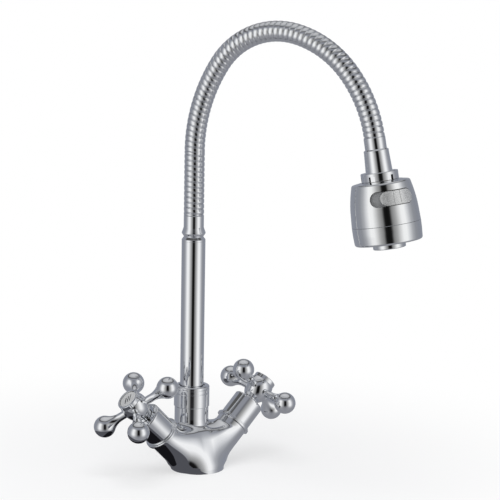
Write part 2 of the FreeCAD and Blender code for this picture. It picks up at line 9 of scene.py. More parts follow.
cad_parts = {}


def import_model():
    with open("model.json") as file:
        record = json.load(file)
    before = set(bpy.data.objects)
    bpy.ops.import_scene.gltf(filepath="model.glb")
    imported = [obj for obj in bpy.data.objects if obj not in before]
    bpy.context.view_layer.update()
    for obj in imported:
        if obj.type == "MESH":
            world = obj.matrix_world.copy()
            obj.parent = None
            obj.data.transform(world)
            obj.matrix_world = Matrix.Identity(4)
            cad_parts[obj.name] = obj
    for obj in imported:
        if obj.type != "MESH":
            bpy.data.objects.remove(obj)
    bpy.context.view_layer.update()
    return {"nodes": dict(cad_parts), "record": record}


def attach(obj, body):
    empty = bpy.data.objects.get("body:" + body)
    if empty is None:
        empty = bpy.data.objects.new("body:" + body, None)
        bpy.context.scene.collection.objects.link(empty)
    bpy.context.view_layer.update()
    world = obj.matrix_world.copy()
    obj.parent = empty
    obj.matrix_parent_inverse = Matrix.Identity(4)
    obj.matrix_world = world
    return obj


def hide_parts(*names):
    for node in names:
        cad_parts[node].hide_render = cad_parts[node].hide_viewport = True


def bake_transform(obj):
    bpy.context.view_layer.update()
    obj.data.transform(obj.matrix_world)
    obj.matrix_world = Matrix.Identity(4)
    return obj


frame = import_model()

# Two handle kitchen faucet in polished chrome. Sizes are in millimetres and, apart from the body's web,
# the fine grooves and the marks, the solids' own. Every finished mesh is in metres in the model's frame.
MM = 0.001

# ---- valve body ----
FOOT_R = 24.3
FOOT_H = 3.0
NECK_R = 15.5
NECK_Y = 10.5
SWEEP_TOP = 46.0
SEAM_Z = 56.4
BOSS_R = 13.9
BOSS_TOP = 60.4
# How far the arms and the neck flow into each other: at the deck, above WEB_LOW_Z, in the full web between
# the heights of WEB_FOOT and WEB_TOP, and in the crotches over it. The two arms meet with a share of that.
WEB_DECK = 3.0
WEB_LOW = 11.0
WEB_LOW_Z = 6.0
WEB_FULL = 26.0
WEB_CROTCH = 5.0
WEB_FOOT = (10.0, 36.0)
WEB_TOP = (36.0, 46.0)
WEB_BETWEEN_ARMS = 0.3
VALVE_Z = -1.6
ARM_R0 = 14.2
ARM_R1 = 14.6
ARM_END = 54.5
BODY_VOXELS = (2.0, 1.2, 0.85)
# Hidden bores: under the collar, in the arms, from the arms to the middle, and in the foot.
BORE_R = 10.2
SPOUT_FLOOR = 20.0
VALVE_FLOOR = 36.6
PORT_R = 4.0
PORT_START = 19.5
INLET_X = 11.5
INLET_R = 5.0
INLET_TOP = 9.0
WATERWAY_R = 3.5
WATERWAY_TOP = 15.0
STUD_Y = 11.0
STUD_R = 4.0
STUD_TOP = 14.0
SEAL_R0 = 19.5
SEAL_R1 = 22.5
SEAL_DEPTH = 2.2

# ---- riser, collar and ferrules ----
RISER_R = 10.75
RISER_BORE = 9.8
RISER_Z = 62.5
RISER_TOP = 209.0
COLLAR_R = 16.2
COLLAR_TOP = 76.0
COLLAR_BORE = 13.95
COLLAR_MOUTH = 11.9
COLLAR_GROOVES = ((68.8, 69.7), (72.6, 73.5))
COLLAR_GROOVE_DEPTH = 0.7
PLUG_Z = 200.0
BEAD_R = 10.95
BEAD_Z = 216.4
SLEEVE_R = 9.1
SEAT_R = 6.3
SEAT_H = 8.0
TUBE_HOLE = 4.6
TUBE_R = 4.5
TUBE_BORE = 3.2

# ---- ribbed hose ----
SPOUT_AZ = math.radians(-58.0)
HOSE_Z = 233.0
STRAIGHT = 57.0
# Radius and degrees of each bend after the straight run.
BENDS = ((146.0, 33.0), (66.0, 72.0), (92.0, 36.0), (120.0, 29.0))
SECTIONS = 9
RIBS = 8
CREST_R = 9.15
GROOVE_DEPTH = 0.95
GROOVE_HALF = 0.45
RIB_CROWN = 0.3
HOSE_WALL = 1.5
TUBE_Z = 212.0
TUBE_END = 7.9

# ---- bonnets and handles, along the valve axis ----
BONNET_R = 14.4
BONNET_BORE = 13.0
BONNET_HOLE = 7.8
RING_R = 16.6
STEP_R = 15.6
BONNET_ROOF = 79.5
BONNET_TOP = 81.5
HUB_FOOT = 79.6
HUB_TOP = 103.2
HUB_BARREL = ((7.3, 84.0), (12.0, 93.2), (10.9, HUB_TOP))
HUB_RECESS = 4.5
SCREW_HOLE = 2.25
SPINDLE_HOLE = 4.05
SPOKES = 4
BALL_S = 94.6
KNOB_R = 9.85
KNOB_REACH = 34.8
SPOKE_R = 3.65
FLARE_R = 18.0
SPOKE_ROOT = 6.5
CAP_R = 10.6
CAP_PLUG = 4.4
CAP_ROOT = 101.2
CAP_TOP = 107.4
CAP_FLOOR = 104.6
INDEX_R = 8.7
INDEX_TOP = 106.7
SIDE = {"hot": -1, "cold": 1}
# Degrees that each handle is turned at rest.
TURNED = {"hot": 53.02, "cold": 16.57}
MARK_STROKES = 3
MARK_PITCH = 2.5
MARK_LENGTH = 7.0
MARK_WIDTH = 0.9
MARK_THICK = 0.06
MARK_SLANT = 24.0
MARK_TURN = 60.0

# ---- spray head, along its axis from the end of the ribbed hose ----
NUT_TOP = 30.0
NUT_END = 37.4
NUT_R = 16.25
NUT_BORE = 12.15
NUT_LIP = 36.0
NUT_LIP_R = 9.08
FLANGE_R = 12.05
FLANGE_END = 33.5
NOTCHES = 6
NOTCH_TURN = 36.6
NOTCH_SIZE = (4.0, 5.5, 6.0)
HEAD_TOP = 37.6
SEAM_T = 75.2
SKIRT_END = 91.6
# Radius of the side at four distances. The corners between the ends are long curves.
HEAD_SIDE = ((25.35, 39.1), (27.3, 47.5), (29.1, 57.9), (30.0, 75.2))
SIDE_CURVE = 100.0
SIDE_LEAN = math.radians(10)
INLET_HOLE = 12.0
ROOF_T = 40.6
ROOF_R = 22.3
CORE_R = 25.0
SKIRT_BORE = 24.0
SLOT_T = 52.0
SLOT_R = 6.65
# Degrees round the head from its outer side: the slot, the slider, its lines and its marks.
SLOT_ENDS = (24.8, 80.7)
SLIDER_ENDS = (25.0, 63.4)
SLIDER_IN = 25.3
SLIDER_PROUD = 0.8
SLIDER_LINES = (39.4, 52.0)
LINE_SIZE = (3.0, 0.5, 16.0)
SLIDER_DOTS = 27.5
DOT_R = 0.38
DOT_PITCH = 1.9
DOT_TURN = 1.7
SLIDER_STROKE = 63.0
STROKE_SIZE = (0.12, 0.5, 3.6)
SLIDER_GAP = 0.65
MARK_FACE = 28.85
MARK_SLOPE = 0.173
PLATE_T = 86.0
PLATE_END = 89.0
PLATE_R = 26.1
NOZZLE_R = 14.25
NOZZLE_BORE = 11.5
NOZZLE_END = 96.6
JET_BORE = 0.5
# Radius and count of the jets.
JET_RINGS = ((17.2, 14), (21.5, 18))

# ---- camera, worked out from the photograph ----
AIM = Vector((0.0, 0.0, 0.198))
CAMERA_AWAY = 1.679
CAMERA_AZIMUTH = math.radians(-34.29)
CAMERA_ELEVATION = math.radians(9.25)
CAMERA_ROLL = math.radians(0.75)
CAMERA_LENS = 134.3
CAMERA_SHIFT = (0.1001, 0.0089)

# ---- studio, in metres ----
# Brightness seen from the faucet by the angle from the front: a narrow gap between two soft boxes,
# the boxes, and grey walls behind.
AROUND = ((0, 0.006), (8, 0.01), (11, 0.06), (16, 0.24), (28, 0.44), (38, 0.72), (48, 0.98), (60, 1.0),
          (70, 0.76), (83, 0.46), (98, 0.31), (120, 0.28), (180, 0.32))
FRONT_TURN = math.radians(3.0)
TENT_R = 4.0
# Share of the underside and of the roof by height, from 0 at the bottom to 1 at the top.
TENT_LOW = ((0.0, 1.0), (0.2, 0.9), (0.4, 0.0), (1.0, 0.0))
TENT_HIGH = ((0.0, 0.0), (0.76, 0.0), (0.86, 1.0), (1.0, 1.0))
UNDER_COLOUR = (0.28, 0.285, 0.31, 1.0)
OVER_COLOUR = (0.29, 0.30, 0.335, 1.0)
# Overhead box: its direction, and its edge and brightness by the cosine of the angle to it.
OVERHEAD = Vector((-math.sin(CAMERA_AZIMUTH) * 0.27, math.cos(CAMERA_AZIMUTH) * 0.27, 1.0)).normalized()
OVERHEAD_EDGE = ((0.0, 0.0), (0.70, 0.0), (0.735, 1.0), (1.0, 1.0))
OVERHEAD_GLOW = ((0.0, 0.10), (0.795, 0.10), (0.84, (0.42, 0.425, 0.44)), (1.0, (0.62, 0.625, 0.64)))
# Colour, place and half widths of each dark sheet: painted shade in the chrome's reflections, for the shaded
# floor round the foot and the shade under the left arm.
BLACK_SHADE_SHEET = ((0.008, 0.008, 0.010), (-0.062, 0.008, 0.0006), (0.031, 0.042))
GREY_SHADE_SHEET = ((0.085, 0.087, 0.100), (-0.065, 0.035, 0.0003), (0.085, 0.085))
FLOOR_COLOUR = (0.80, 0.80, 0.805, 1.0)
WHITE = (1.0, 1.0, 1.0, 1.0)
# Place, aim, width and watts of each soft box.
TOP_SOFTBOX = ((-0.4, -0.5, 1.9), (0.0, 0.0, 0.1), 1.6, 26.0)
FRONT_SOFTBOX = ((-1.5, -1.2, 0.9), (0.0, 0.0, 0.2), 1.0, 9.0)


# ---------------------------------------------------------------- frames of the parts

def axes(origin, x_axis, z_axis):
    x_axis = Vector(x_axis).normalized()
    z_axis = Vector(z_axis).normalized()
    y_axis = z_axis.cross(x_axis)
    turn = Matrix((x_axis, y_axis, z_axis)).transposed().to_4x4()
    return Matrix.Translation(origin) @ turn


OUT = Vector((math.cos(SPOUT_AZ), math.sin(SPOUT_AZ), 0.0))
UP = Vector((0.0, 0.0, 1.0))
BINORMAL = UP.cross(OUT)
RISER = Matrix.Translation((0.0, NECK_Y, 0.0))
HOSE = STRAIGHT + sum(r * math.radians(turn) for r, turn in BENDS)
SECTION = HOSE / SECTIONS
PITCH = SECTION / RIBS


def valve_axis(side):
    return Vector((SIDE[side], 0.0, 1.0)).normalized()


def valve_frame(side):
    return axes((0.0, 0.0, VALVE_Z), (0.0, 1.0, 0.0), valve_axis(side))


def on_hose(s):
    """Point and direction of the gooseneck centreline at length s."""
    left = s - STRAIGHT
    out = 0.0
    z = HOSE_Z + min(s, STRAIGHT)
    lean = 0.0
    for r, turn in BENDS:
        step = min(max(left, 0.0), r * math.radians(turn))
        new = lean + step / r
        out += r * (math.cos(lean) - math.cos(new))
        z += r * (math.sin(new) - math.sin(lean))
        lean = new
        left -= step
    way = OUT * math.sin(lean) + UP * math.cos(lean)
    point = Vector((0.0, NECK_Y, z)) + OUT * out
    if left > 0.0:
        point += way * left
    return point, way


def head_frame():
    """Frame of everything past the ribbed hose. X points away from the riser."""
    point, way = on_hose(HOSE)
    return axes(point, BINORMAL.cross(way) * -1.0, way)


HEAD = head_frame()


# ---------------------------------------------------------------- mesh helpers

def rounded(corners, closed=True):
    """Profile points (radius, height). A corner's third value is its rounding radius."""
    points = []
    count = len(corners)
    for i in range(count):
        here = Vector(corners[i][:2])
        if len(corners[i]) < 3:
            points.append(here)
            continue
        a = (Vector(corners[i - 1][:2]) - here).normalized()
        b = (Vector(corners[(i + 1) % count][:2]) - here).normalized()
        half = a.angle(b) / 2
        r = corners[i][2]
        centre = here + (a + b).normalized() * (r / math.sin(half))
        arm = here + a * (r / math.tan(half)) - centre
        sweep = math.pi - 2 * half
        if a.x * b.y - a.y * b.x > 0:
            sweep = -sweep
        steps = max(3, math.ceil(abs(sweep) / math.radians(8)))
        for k in range(steps + 1):
            points.append(centre + Matrix.Rotation(sweep * k / steps, 2) @ arm)
    return with_supports(points, closed)


def with_supports(points, closed=True):
    """Adds a point close to both ends of each long run, so that shading stays even along it."""
    near = 0.12
    result = []
    count = len(points)
    for i in range(count):
        result.append(points[i])
        if i == count - 1 and not closed:
            break
        run = points[(i + 1) % count] - points[i]
        if run.length > 6 * near:
            result.append(points[i] + run.normalized() * near)
            result.append(points[i] + run - run.normalized() * near)
    return result


def turned_shell(shape, points, place, around=112, closed=True):
    """Adds a turned shell to the bmesh: the profile goes once round the frame's Z axis."""
    rings = []
    for r, z in points:
        if abs(r) < 1e-6:
            rings.append([shape.verts.new(place @ Vector((0.0, 0.0, z)))])
            continue
        ring = []
        for k in range(around):
            a = 2 * math.pi * k / around
            ring.append(shape.verts.new(place @ Vector((r * math.cos(a), r * math.sin(a), z))))
        rings.append(ring)
    faces = []
    pairs = list(zip(rings, rings[1:] + rings[:1]))
    if not closed:
        pairs.pop()
    for low, high in pairs:
        if len(low) == 1 and len(high) == 1:
            continue
        for k in range(around):
            n = (k + 1) % around
            loop = [low[k % len(low)], low[n % len(low)], high[n % len(high)], high[k % len(high)]]
            unique = list(dict.fromkeys(loop))
            if len(unique) > 2:
                faces.append(shape.faces.new(unique))
    bmesh.ops.recalc_face_normals(shape, faces=faces)
    return faces


def new_object(name, mesh):
    piece = bpy.data.objects.new(name, mesh)
    bpy.context.scene.collection.objects.link(piece)
    return piece


def object_from(name, shape):
    """Object of a bmesh made in millimetres."""
    shape.transform(Matrix.Scale(MM, 4))
    mesh = bpy.data.meshes.new(name)
    shape.to_mesh(mesh)
    shape.free()
    return new_object(name, mesh)


def turned(name, points, place, around=112, closed=True):
    shape = bmesh.new()
    turned_shell(shape, points, place, around, closed)
    return object_from(name, shape)


def drop(*pieces):
    for piece in pieces:
        data = piece.data
        kind = piece.type
        bpy.data.objects.remove(piece)
        if kind == "MESH":
            bpy.data.meshes.remove(data)


def settled(piece):
    """Puts the modifiers' result into the piece as a plain mesh."""
    graph = bpy.context.evaluated_depsgraph_get()
    mesh = bpy.data.meshes.new_from_object(piece.evaluated_get(graph))
    old = piece.data
    piece.modifiers.clear()
    piece.data = mesh
    if isinstance(old, bpy.types.Mesh):
        bpy.data.meshes.remove(old)
    return piece


def carved(piece, tools, operation="DIFFERENCE"):
    for tool in tools:
        cut = piece.modifiers.new("cut", "BOOLEAN")
        cut.operation = operation
        cut.solver = "MANIFOLD"
        cut.object = tool
    settled(piece)
    drop(*tools)
    return piece


def rod(r, z0, z1, place, around=96):
    points = [Vector((0.0, z0)), Vector((r, z0)), Vector((r, z1)), Vector((0.0, z1))]
    return turned("rod", points, place, around, closed=False)


def block(size, place):
    shape = bmesh.new()
    bmesh.ops.create_cube(shape, size=1.0, matrix=place @ Matrix.Diagonal((*size, 1.0)))
    return object_from("block", shape)


def turn_z(degrees):
    return Matrix.Rotation(math.radians(degrees), 4, "Z")


def kept(piece, body, slot, nodes=(), crease=35.0, material=None):
    """Finishes a piece: even shading, its slot and finish, the body it moves with, the solids it replaces."""
    mesh = piece.data
    mesh.shade_smooth()
    mesh.set_sharp_from_angle(angle=math.radians(crease))
    mesh.materials.clear()
    mesh.materials.append(material or FINISH[slot])
    if body:
        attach(piece, body)
    if nodes:
        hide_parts(*nodes)
    return piece


# ---------------------------------------------------------------- materials

def node(tree, kind, wires=None, **settings):
    """Adds a node with its settings. Each input named in wires takes a value or another node's output."""
    made = tree.nodes.new(kind)
    for key, value in settings.items():
        setattr(made, key, value)
    for key, value in (wires or {}).items():
        if isinstance(value, bpy.types.NodeSocket):
            tree.links.new(value, made.inputs[key])
        else:
            made.inputs[key].default_value = value
    return made


def arithmetic(tree, operation, *values):
    return node(tree, "ShaderNodeMath", dict(enumerate(values)), operation=operation).outputs[0]


def vector_math(tree, operation, *values):
    made = node(tree, "ShaderNodeVectorMath", dict(enumerate(values)), operation=operation)
    return made.outputs["Value" if operation in ("LENGTH", "DOT_PRODUCT") else "Vector"]


def new_tree(name, kind, inputs, outputs):
    """Node group with named inputs and outputs. Gives the tree and the sockets of its inputs."""
    tree = bpy.data.node_groups.new(name, kind)
    for label, socket_kind, default in inputs:
        socket = tree.interface.new_socket(label, in_out="INPUT", socket_type="NodeSocket" + socket_kind)
        if default is not None:
            socket.default_value = default
    for label, socket_kind in outputs:
        tree.interface.new_socket(label, in_out="OUTPUT", socket_type="NodeSocket" + socket_kind)
    return tree, tree.nodes.new("NodeGroupInput").outputs


def polish_group():
    """Polish of plated metal: wipe marks and faint dull patches in the roughness, and a slight ripple."""
    group, sizes = new_tree(
        "polish", "ShaderNodeTree",
        [("Wipe Scale", "Float", 60.0), ("Patch Scale", "Float", 18.0), ("Clean", "Float", 0.03),
         ("Worn", "Float", 0.08)],
        [("Roughness", "Float"), ("Height", "Float")])
    place = node(group, "ShaderNodeTexCoord").outputs["Object"]
    stretch = node(group, "ShaderNodeMapping", {
        "Vector": place, "Scale": (1.0, 1.0, 9.0), "Rotation": (0.35, 0.2, 0.0)})
    wipe = node(group, "ShaderNodeTexNoise", {
        "Vector": stretch.outputs["Vector"], "Scale": sizes["Wipe Scale"], "Detail": 6.0, "Roughness": 0.7})
    patch = node(group, "ShaderNodeTexNoise", {
        "Vector": place, "Scale": sizes["Patch Scale"], "Detail": 3.0, "Distortion": 0.6})
    both = arithmetic(group, "MULTIPLY", wipe.outputs["Fac"], patch.outputs["Fac"])
    spread = node(group, "ShaderNodeMapRange", {
        "Value": both, "From Min": 0.16, "From Max": 0.42, "To Min": sizes["Clean"], "To Max": sizes["Worn"]})
    node(group, "NodeGroupOutput", {"Roughness": spread.outputs["Result"], "Height": patch.outputs["Fac"]})
    return group


def grain_group():
    """Grain of moulded, cast or fired pieces: two tones, a matching roughness and a height."""
    group, sizes = new_tree(
        "grain", "ShaderNodeTree",
        [("Grain Scale", "Float", 900.0), ("Cloud Scale", "Float", 60.0),
         ("Dark", "Color", (0.1, 0.1, 0.1, 1.0)), ("Light", "Color", (0.2, 0.2, 0.2, 1.0)),
         ("Smooth", "Float", 0.3), ("Rough", "Float", 0.5)],
        [("Colour", "Color"), ("Roughness", "Float"), ("Height", "Float")])
    place = node(group, "ShaderNodeTexCoord").outputs["Object"]
    grain = node(group, "ShaderNodeTexNoise", {"Vector": place, "Scale": sizes["Grain Scale"], "Detail": 4.0})
    cloud = node(group, "ShaderNodeTexNoise", {"Vector": place, "Scale": sizes["Cloud Scale"], "Detail": 2.0})
    both = arithmetic(group, "ADD", grain.outputs["Fac"], cloud.outputs["Fac"])
    spread = node(group, "ShaderNodeMapRange", {"Value": both, "From Min": 0.7, "From Max": 1.3})
    spread = spread.outputs["Result"]
    tone = mixed(group, spread, sizes["Dark"], sizes["Light"])
    rough = node(group, "ShaderNodeMapRange", {
        "Value": spread, "To Min": sizes["Smooth"], "To Max": sizes["Rough"]})
    node(group, "NodeGroupOutput", {
        "Colour": tone, "Roughness": rough.outputs["Result"], "Height": grain.outputs["Fac"]})
    return group


def mixed(tree, share, a, b):
    return node(tree, "ShaderNodeMix", {"Factor": share, "A": a, "B": b}, data_type="RGBA").outputs["Result"]


POLISH = polish_group()
GRAIN = grain_group()


def finished(name, group, height, values):
    """Material with the roughness of a finish group, and its height as bump of the given depth in metres."""
    material = bpy.data.materials.new(name)
    material.use_nodes = True
    tree = material.node_tree
    shader = tree.nodes["Principled BSDF"]
    finish = node(tree, "ShaderNodeGroup", values, node_tree=group)
    bump = node(tree, "ShaderNodeBump", {
        "Height": finish.outputs["Height"], "Distance": height, "Strength": 1.0})
    tree.links.new(finish.outputs["Roughness"], shader.inputs["Roughness"])
    tree.links.new(bump.outputs["Normal"], shader.inputs["Normal"])
    return material, shader, finish


def plated(name, colour, clean, worn, wipe=60.0, patch=18.0, ripple=0.00001):
    """Polished plating. The colour is the metal's own, and its gloss varies by the polish group."""
    material, shader, _ = finished(name, POLISH, ripple, {
        "Wipe Scale": wipe, "Patch Scale": patch, "Clean": clean, "Worn": worn})
    shader.inputs["Base Color"].default_value = (*colour, 1.0)
    shader.inputs["Metallic"].default_value = 1.0
    return material


def grained(name, dark, light, smooth, rough, metallic=0.0, grain=900.0, cloud=60.0, depth=0.00002):
    """Moulded, cast or fired material in two close tones."""
    material, shader, tones = finished(name, GRAIN, depth, {
        "Grain Scale": grain, "Cloud Scale": cloud, "Dark": (*dark, 1.0), "Light": (*light, 1.0),
        "Smooth": smooth, "Rough": rough})
    material.node_tree.links.new(tones.outputs["Colour"], shader.inputs["Base Color"])
    shader.inputs["Metallic"].default_value = metallic
    return material


SATIN_GRAIN = {"grain": 2600.0, "depth": 0.000003}
CHROME = (0.86, 0.87, 0.885)
FINISH = {
    "chrome_body": plated("chrome_body", CHROME, 0.035, 0.075),
    "chrome_tube": plated("chrome_tube", CHROME, 0.03, 0.06, wipe=40.0),
    "chrome_hose": plated("chrome_hose", (0.84, 0.85, 0.865), 0.06, 0.13, wipe=120.0),
    "chrome_plastic": plated("chrome_plastic", (0.85, 0.86, 0.865), 0.04, 0.08, ripple=0.00002),
    "satin_plastic": grained("satin_plastic", (0.56, 0.56, 0.55), (0.63, 0.63, 0.62), 0.28, 0.4,
                             metallic=0.35, **SATIN_GRAIN),
    "grey_plastic": grained("grey_plastic", (0.20, 0.205, 0.21), (0.25, 0.255, 0.26), 0.3, 0.45),
    "white_plastic": grained("white_plastic", (0.70, 0.70, 0.68), (0.78, 0.78, 0.76), 0.3, 0.45),
    "brass": grained("brass", (0.62, 0.42, 0.17), (0.72, 0.52, 0.24), 0.22, 0.42, metallic=1.0, grain=400.0),
    "ceramic": grained("ceramic", (0.78, 0.77, 0.74), (0.86, 0.85, 0.82), 0.12, 0.2,
                       grain=1500.0, depth=0.000005),
    "rubber": grained("rubber", (0.012, 0.012, 0.013), (0.025, 0.025, 0.027), 0.5, 0.7),
    "soft_grey": grained("soft_grey", (0.30, 0.31, 0.32), (0.38, 0.39, 0.40), 0.45, 0.6),
    "steel": plated("steel", (0.60, 0.60, 0.59), 0.16, 0.3, wipe=200.0),
}
SLIDER = grained("satin_silver", (0.58, 0.585, 0.58), (0.66, 0.665, 0.66), 0.22, 0.32,
                 metallic=0.6, **SATIN_GRAIN)
INK = grained("black_ink", (0.012, 0.012, 0.014), (0.03, 0.03, 0.034), 0.35, 0.5)


# ---------------------------------------------------------------- valve body

def ease(u):
    """Smooth step from 0 to 1."""
    u = np.clip(u, 0.0, 1.0)
    return u * u * (3 - 2 * u)


def near_neck(p):
    """Distance of points to the foot and the leaning neck."""
    height = SWEEP_TOP - FOOT_H
    u = np.clip((p[:, 2] - FOOT_H) / height, 0.0, 1.0)
    slope = 6 * u * (1 - u) / height
    side = p[:, 1] - NECK_Y * ease(u)
    flat = np.hypot(p[:, 0], side)
    gap = flat - FOOT_R - (NECK_R - FOOT_R) * ease(u)
    tilt = side / flat * NECK_Y * slope + (NECK_R - FOOT_R) * slope
    return gap / np.sqrt(1 + tilt * tilt)


def near_arm(p, side):
    """Distance of points to one arm."""
    way = np.array(valve_axis(side))
    q = p - np.array((0.0, 0.0, VALVE_Z))
    s = q @ way
    flat = np.linalg.norm(q - s[:, None] * way, axis=1)
    taper = (ARM_R1 - ARM_R0) / ARM_END
    return (flat - ARM_R0 - taper * s) / math.sqrt(1 + taper * taper)


def melted(a, b, reach):
    """Union of two forms that flow into each other over the given reach."""
    near = np.maximum(reach - np.abs(a - b), 0.0) / reach
    return np.minimum(a, b) - near * near * reach / 4


def body_field(p):
    """The cast body: sharp at the foot, a full web between arms and neck, and tight crotches above it."""
    rise = ease((p[:, 2] - WEB_FOOT[0]) / (WEB_FOOT[1] - WEB_FOOT[0]))
    fall = ease((p[:, 2] - WEB_TOP[0]) / (WEB_TOP[1] - WEB_TOP[0]))
    low = WEB_DECK + (WEB_LOW - WEB_DECK) * np.clip(p[:, 2] / WEB_LOW_Z, 0.0, 1.0)
    web = low + (WEB_FULL - WEB_LOW) * rise + (WEB_CROTCH - WEB_FULL) * fall * rise
    arms = melted(near_arm(p, "hot"), near_arm(p, "cold"), np.maximum(web * WEB_BETWEEN_ARMS, 0.5))
    return melted(near_neck(p), arms, web)


def near_body(p):
    """Distance to the cast body and the way out of it."""
    step = 0.02
    gap = body_field(p)
    out = np.empty_like(p)
    for k in range(3):
        aside = np.zeros(3)
        aside[k] = step
        out[:, k] = (body_field(p + aside) - body_field(p - aside)) / (2 * step)
    size = np.maximum(np.linalg.norm(out, axis=1), 0.2)
    return gap / size, out / size[:, None]


def body_blank():
    """Rough union of the foot, neck and arms, a little too long at each end."""
    over = 4.0
    levels = 25
    around = 64
    arm_start = 8.0
    shape = bmesh.new()
    loops = []
    for k in range(levels):
        z = -over + (SEAM_Z + 2 * over) * k / (levels - 1)
        share = ease((z - FOOT_H) / (SWEEP_TOP - FOOT_H))
        r = FOOT_R + (NECK_R - FOOT_R) * share
        turns = [2 * math.pi * n / around for n in range(around)]
        loops.append([shape.verts.new((r * math.cos(a), NECK_Y * share + r * math.sin(a), z)) for a in turns])
    faces = [shape.faces.new(loops[0]), shape.faces.new(loops[-1])]
    for low, high in zip(loops, loops[1:]):
        for k in range(around):
            n = (k + 1) % around
            faces.append(shape.faces.new((low[k], low[n], high[n], high[k])))
    bmesh.ops.recalc_face_normals(shape, faces=faces)
    for side in SIDE:
        points = [Vector((0.0, arm_start)), Vector((ARM_R0, arm_start)), Vector((ARM_R1, ARM_END + over)),
                  Vector((0.0, ARM_END + over))]
        turned_shell(shape, points, valve_frame(side), around, closed=False)
    return object_from("valve_body_skin", shape)


def vertex_points(mesh):
    """Points of a mesh in millimetres."""
    points = np.empty(len(mesh.vertices) * 3)
    mesh.vertices.foreach_get("co", points)
    return points.reshape(-1, 3) / MM


def settled_on_body(piece, voxel):
    """Remeshes the piece evenly and moves each point onto the body's surface."""
    remesh = piece.modifiers.new("even", "REMESH")
    remesh.mode = "VOXEL"
    remesh.voxel_size = voxel * MM
    remesh.adaptivity = 0.0
    settled(piece)
    points = vertex_points(piece.data)
    for _ in range(7):
        gap, out = near_body(points)
        points -= out * np.clip(gap, -3.0, 3.0)[:, None]
    piece.data.vertices.foreach_set("co", (points * MM).ravel())
    piece.data.update()
    return piece


def trimmed(piece, point, way):
    """Cuts off what lies past a plane and closes the cut."""
    shape = bmesh.new()
    shape.from_mesh(piece.data)
    everything = shape.verts[:] + shape.edges[:] + shape.faces[:]
    bmesh.ops.bisect_plane(shape, geom=everything, plane_co=Vector(point) * MM, plane_no=way,
                           clear_outer=True, dist=1e-7)
    rim = [e for e in shape.edges if e.is_boundary]
    bmesh.ops.edgeloop_fill(shape, edges=rim)
    bmesh.ops.recalc_face_normals(shape, faces=shape.faces[:])
    shape.to_mesh(piece.data)
    shape.free()
    return piece


def valve_body():
    piece = body_blank()
    for voxel in BODY_VOXELS:
        settled_on_body(piece, voxel)
    trimmed(piece, (0.0, 0.0, 0.0), (0.0, 0.0, -1.0))
    trimmed(piece, (0.0, NECK_Y, SEAM_Z), (0.0, 0.0, 1.0))
    for side in SIDE:
        way = valve_axis(side)
        trimmed(piece, Vector((0.0, 0.0, VALVE_Z)) + way * ARM_END, way)
    carved(piece, [rod(BOSS_R, SEAM_Z - 2.0, BOSS_TOP, RISER)], "UNION")
    tools = [rod(BORE_R, SPOUT_FLOOR, BOSS_TOP + 1.0, RISER)]
    for side in SIDE:
        inlet = Matrix.Translation((SIDE[side] * INLET_X, 0.0, 0.0))
        tools.append(rod(BORE_R, VALVE_FLOOR, ARM_END + 1.0, valve_frame(side)))
        tools.append(rod(PORT_R, PORT_START, VALVE_FLOOR + 1.0, valve_frame(side), 48))
        tools.append(rod(INLET_R, -1.0, INLET_TOP, inlet, 48))
        tools.append(rod(WATERWAY_R, INLET_TOP - 1.0, WATERWAY_TOP, inlet, 32))
    for y in (-STUD_Y, STUD_Y):
        tools.append(rod(STUD_R, -1.0, STUD_TOP, Matrix.Translation((0.0, y, 0.0)), 48))
    low, high = -1.0, SEAL_DEPTH
    groove = [Vector(c) for c in ((SEAL_R0, low), (SEAL_R1, low), (SEAL_R1, high), (SEAL_R0, high))]
    tools.append(turned("groove", groove, Matrix.Identity(4)))
    carved(piece, tools)
    piece.name = "valve_body_skin"
    kept(piece, "base", "chrome_body", ["valve_body"], crease=30.0)
    set_skin_normals(piece)


def set_skin_normals(piece):
    """Gives the cast skin the exact normals of its form, and leaves cuts and flat faces as they are."""
    mesh = piece.data
    gap, out = near_body(vertex_points(mesh))
    corners = np.empty(len(mesh.loops), dtype=np.int32)
    mesh.loops.foreach_get("vertex_index", corners)
    current = np.empty(len(mesh.loops) * 3)
    mesh.corner_normals.foreach_get("vector", current)
    current = current.reshape(-1, 3)
    wanted = out[corners]
    skin = (np.abs(gap[corners]) < 0.05) & ((wanted * current).sum(1) > 0.9)
    normals = np.where(skin[:, None], wanted, current)
    mesh.normals_split_custom_set(normals.tolist())


# ---------------------------------------------------------------- collar, riser, ferrules

def spout_collar():
    r = COLLAR_R
    slide = RISER_R + 0.08
    floor_r = r - COLLAR_GROOVE_DEPTH
    grooves = []
    for low, high in COLLAR_GROOVES:
        grooves += [(r, low, 0.15), (floor_r, low), (floor_r, high), (r, high, 0.15)]
    points = rounded([
        (COLLAR_BORE, SEAM_Z + 0.05), (r, SEAM_Z + 0.05, 0.6), *grooves, (r, COLLAR_TOP, 1.6),
        (COLLAR_MOUTH, COLLAR_TOP, 0.3), (COLLAR_MOUTH, 72.0), (slide, 72.0), (slide, 64.1), (13.2, 64.1),
        (13.2, BOSS_TOP), (COLLAR_BORE, BOSS_TOP)])
    kept(turned("spout_collar_skin", points, RISER), "base", "chrome_body", ["spout_collar"])


def riser_tube():
    points = rounded([(RISER_BORE, RISER_Z), (RISER_R, RISER_Z, 0.2), (RISER_R, RISER_TOP, 0.12),
                      (RISER_BORE, RISER_TOP)])
    kept(turned("riser_tube_skin", points, RISER, 128), "spout", "chrome_tube", ["riser_tube"])


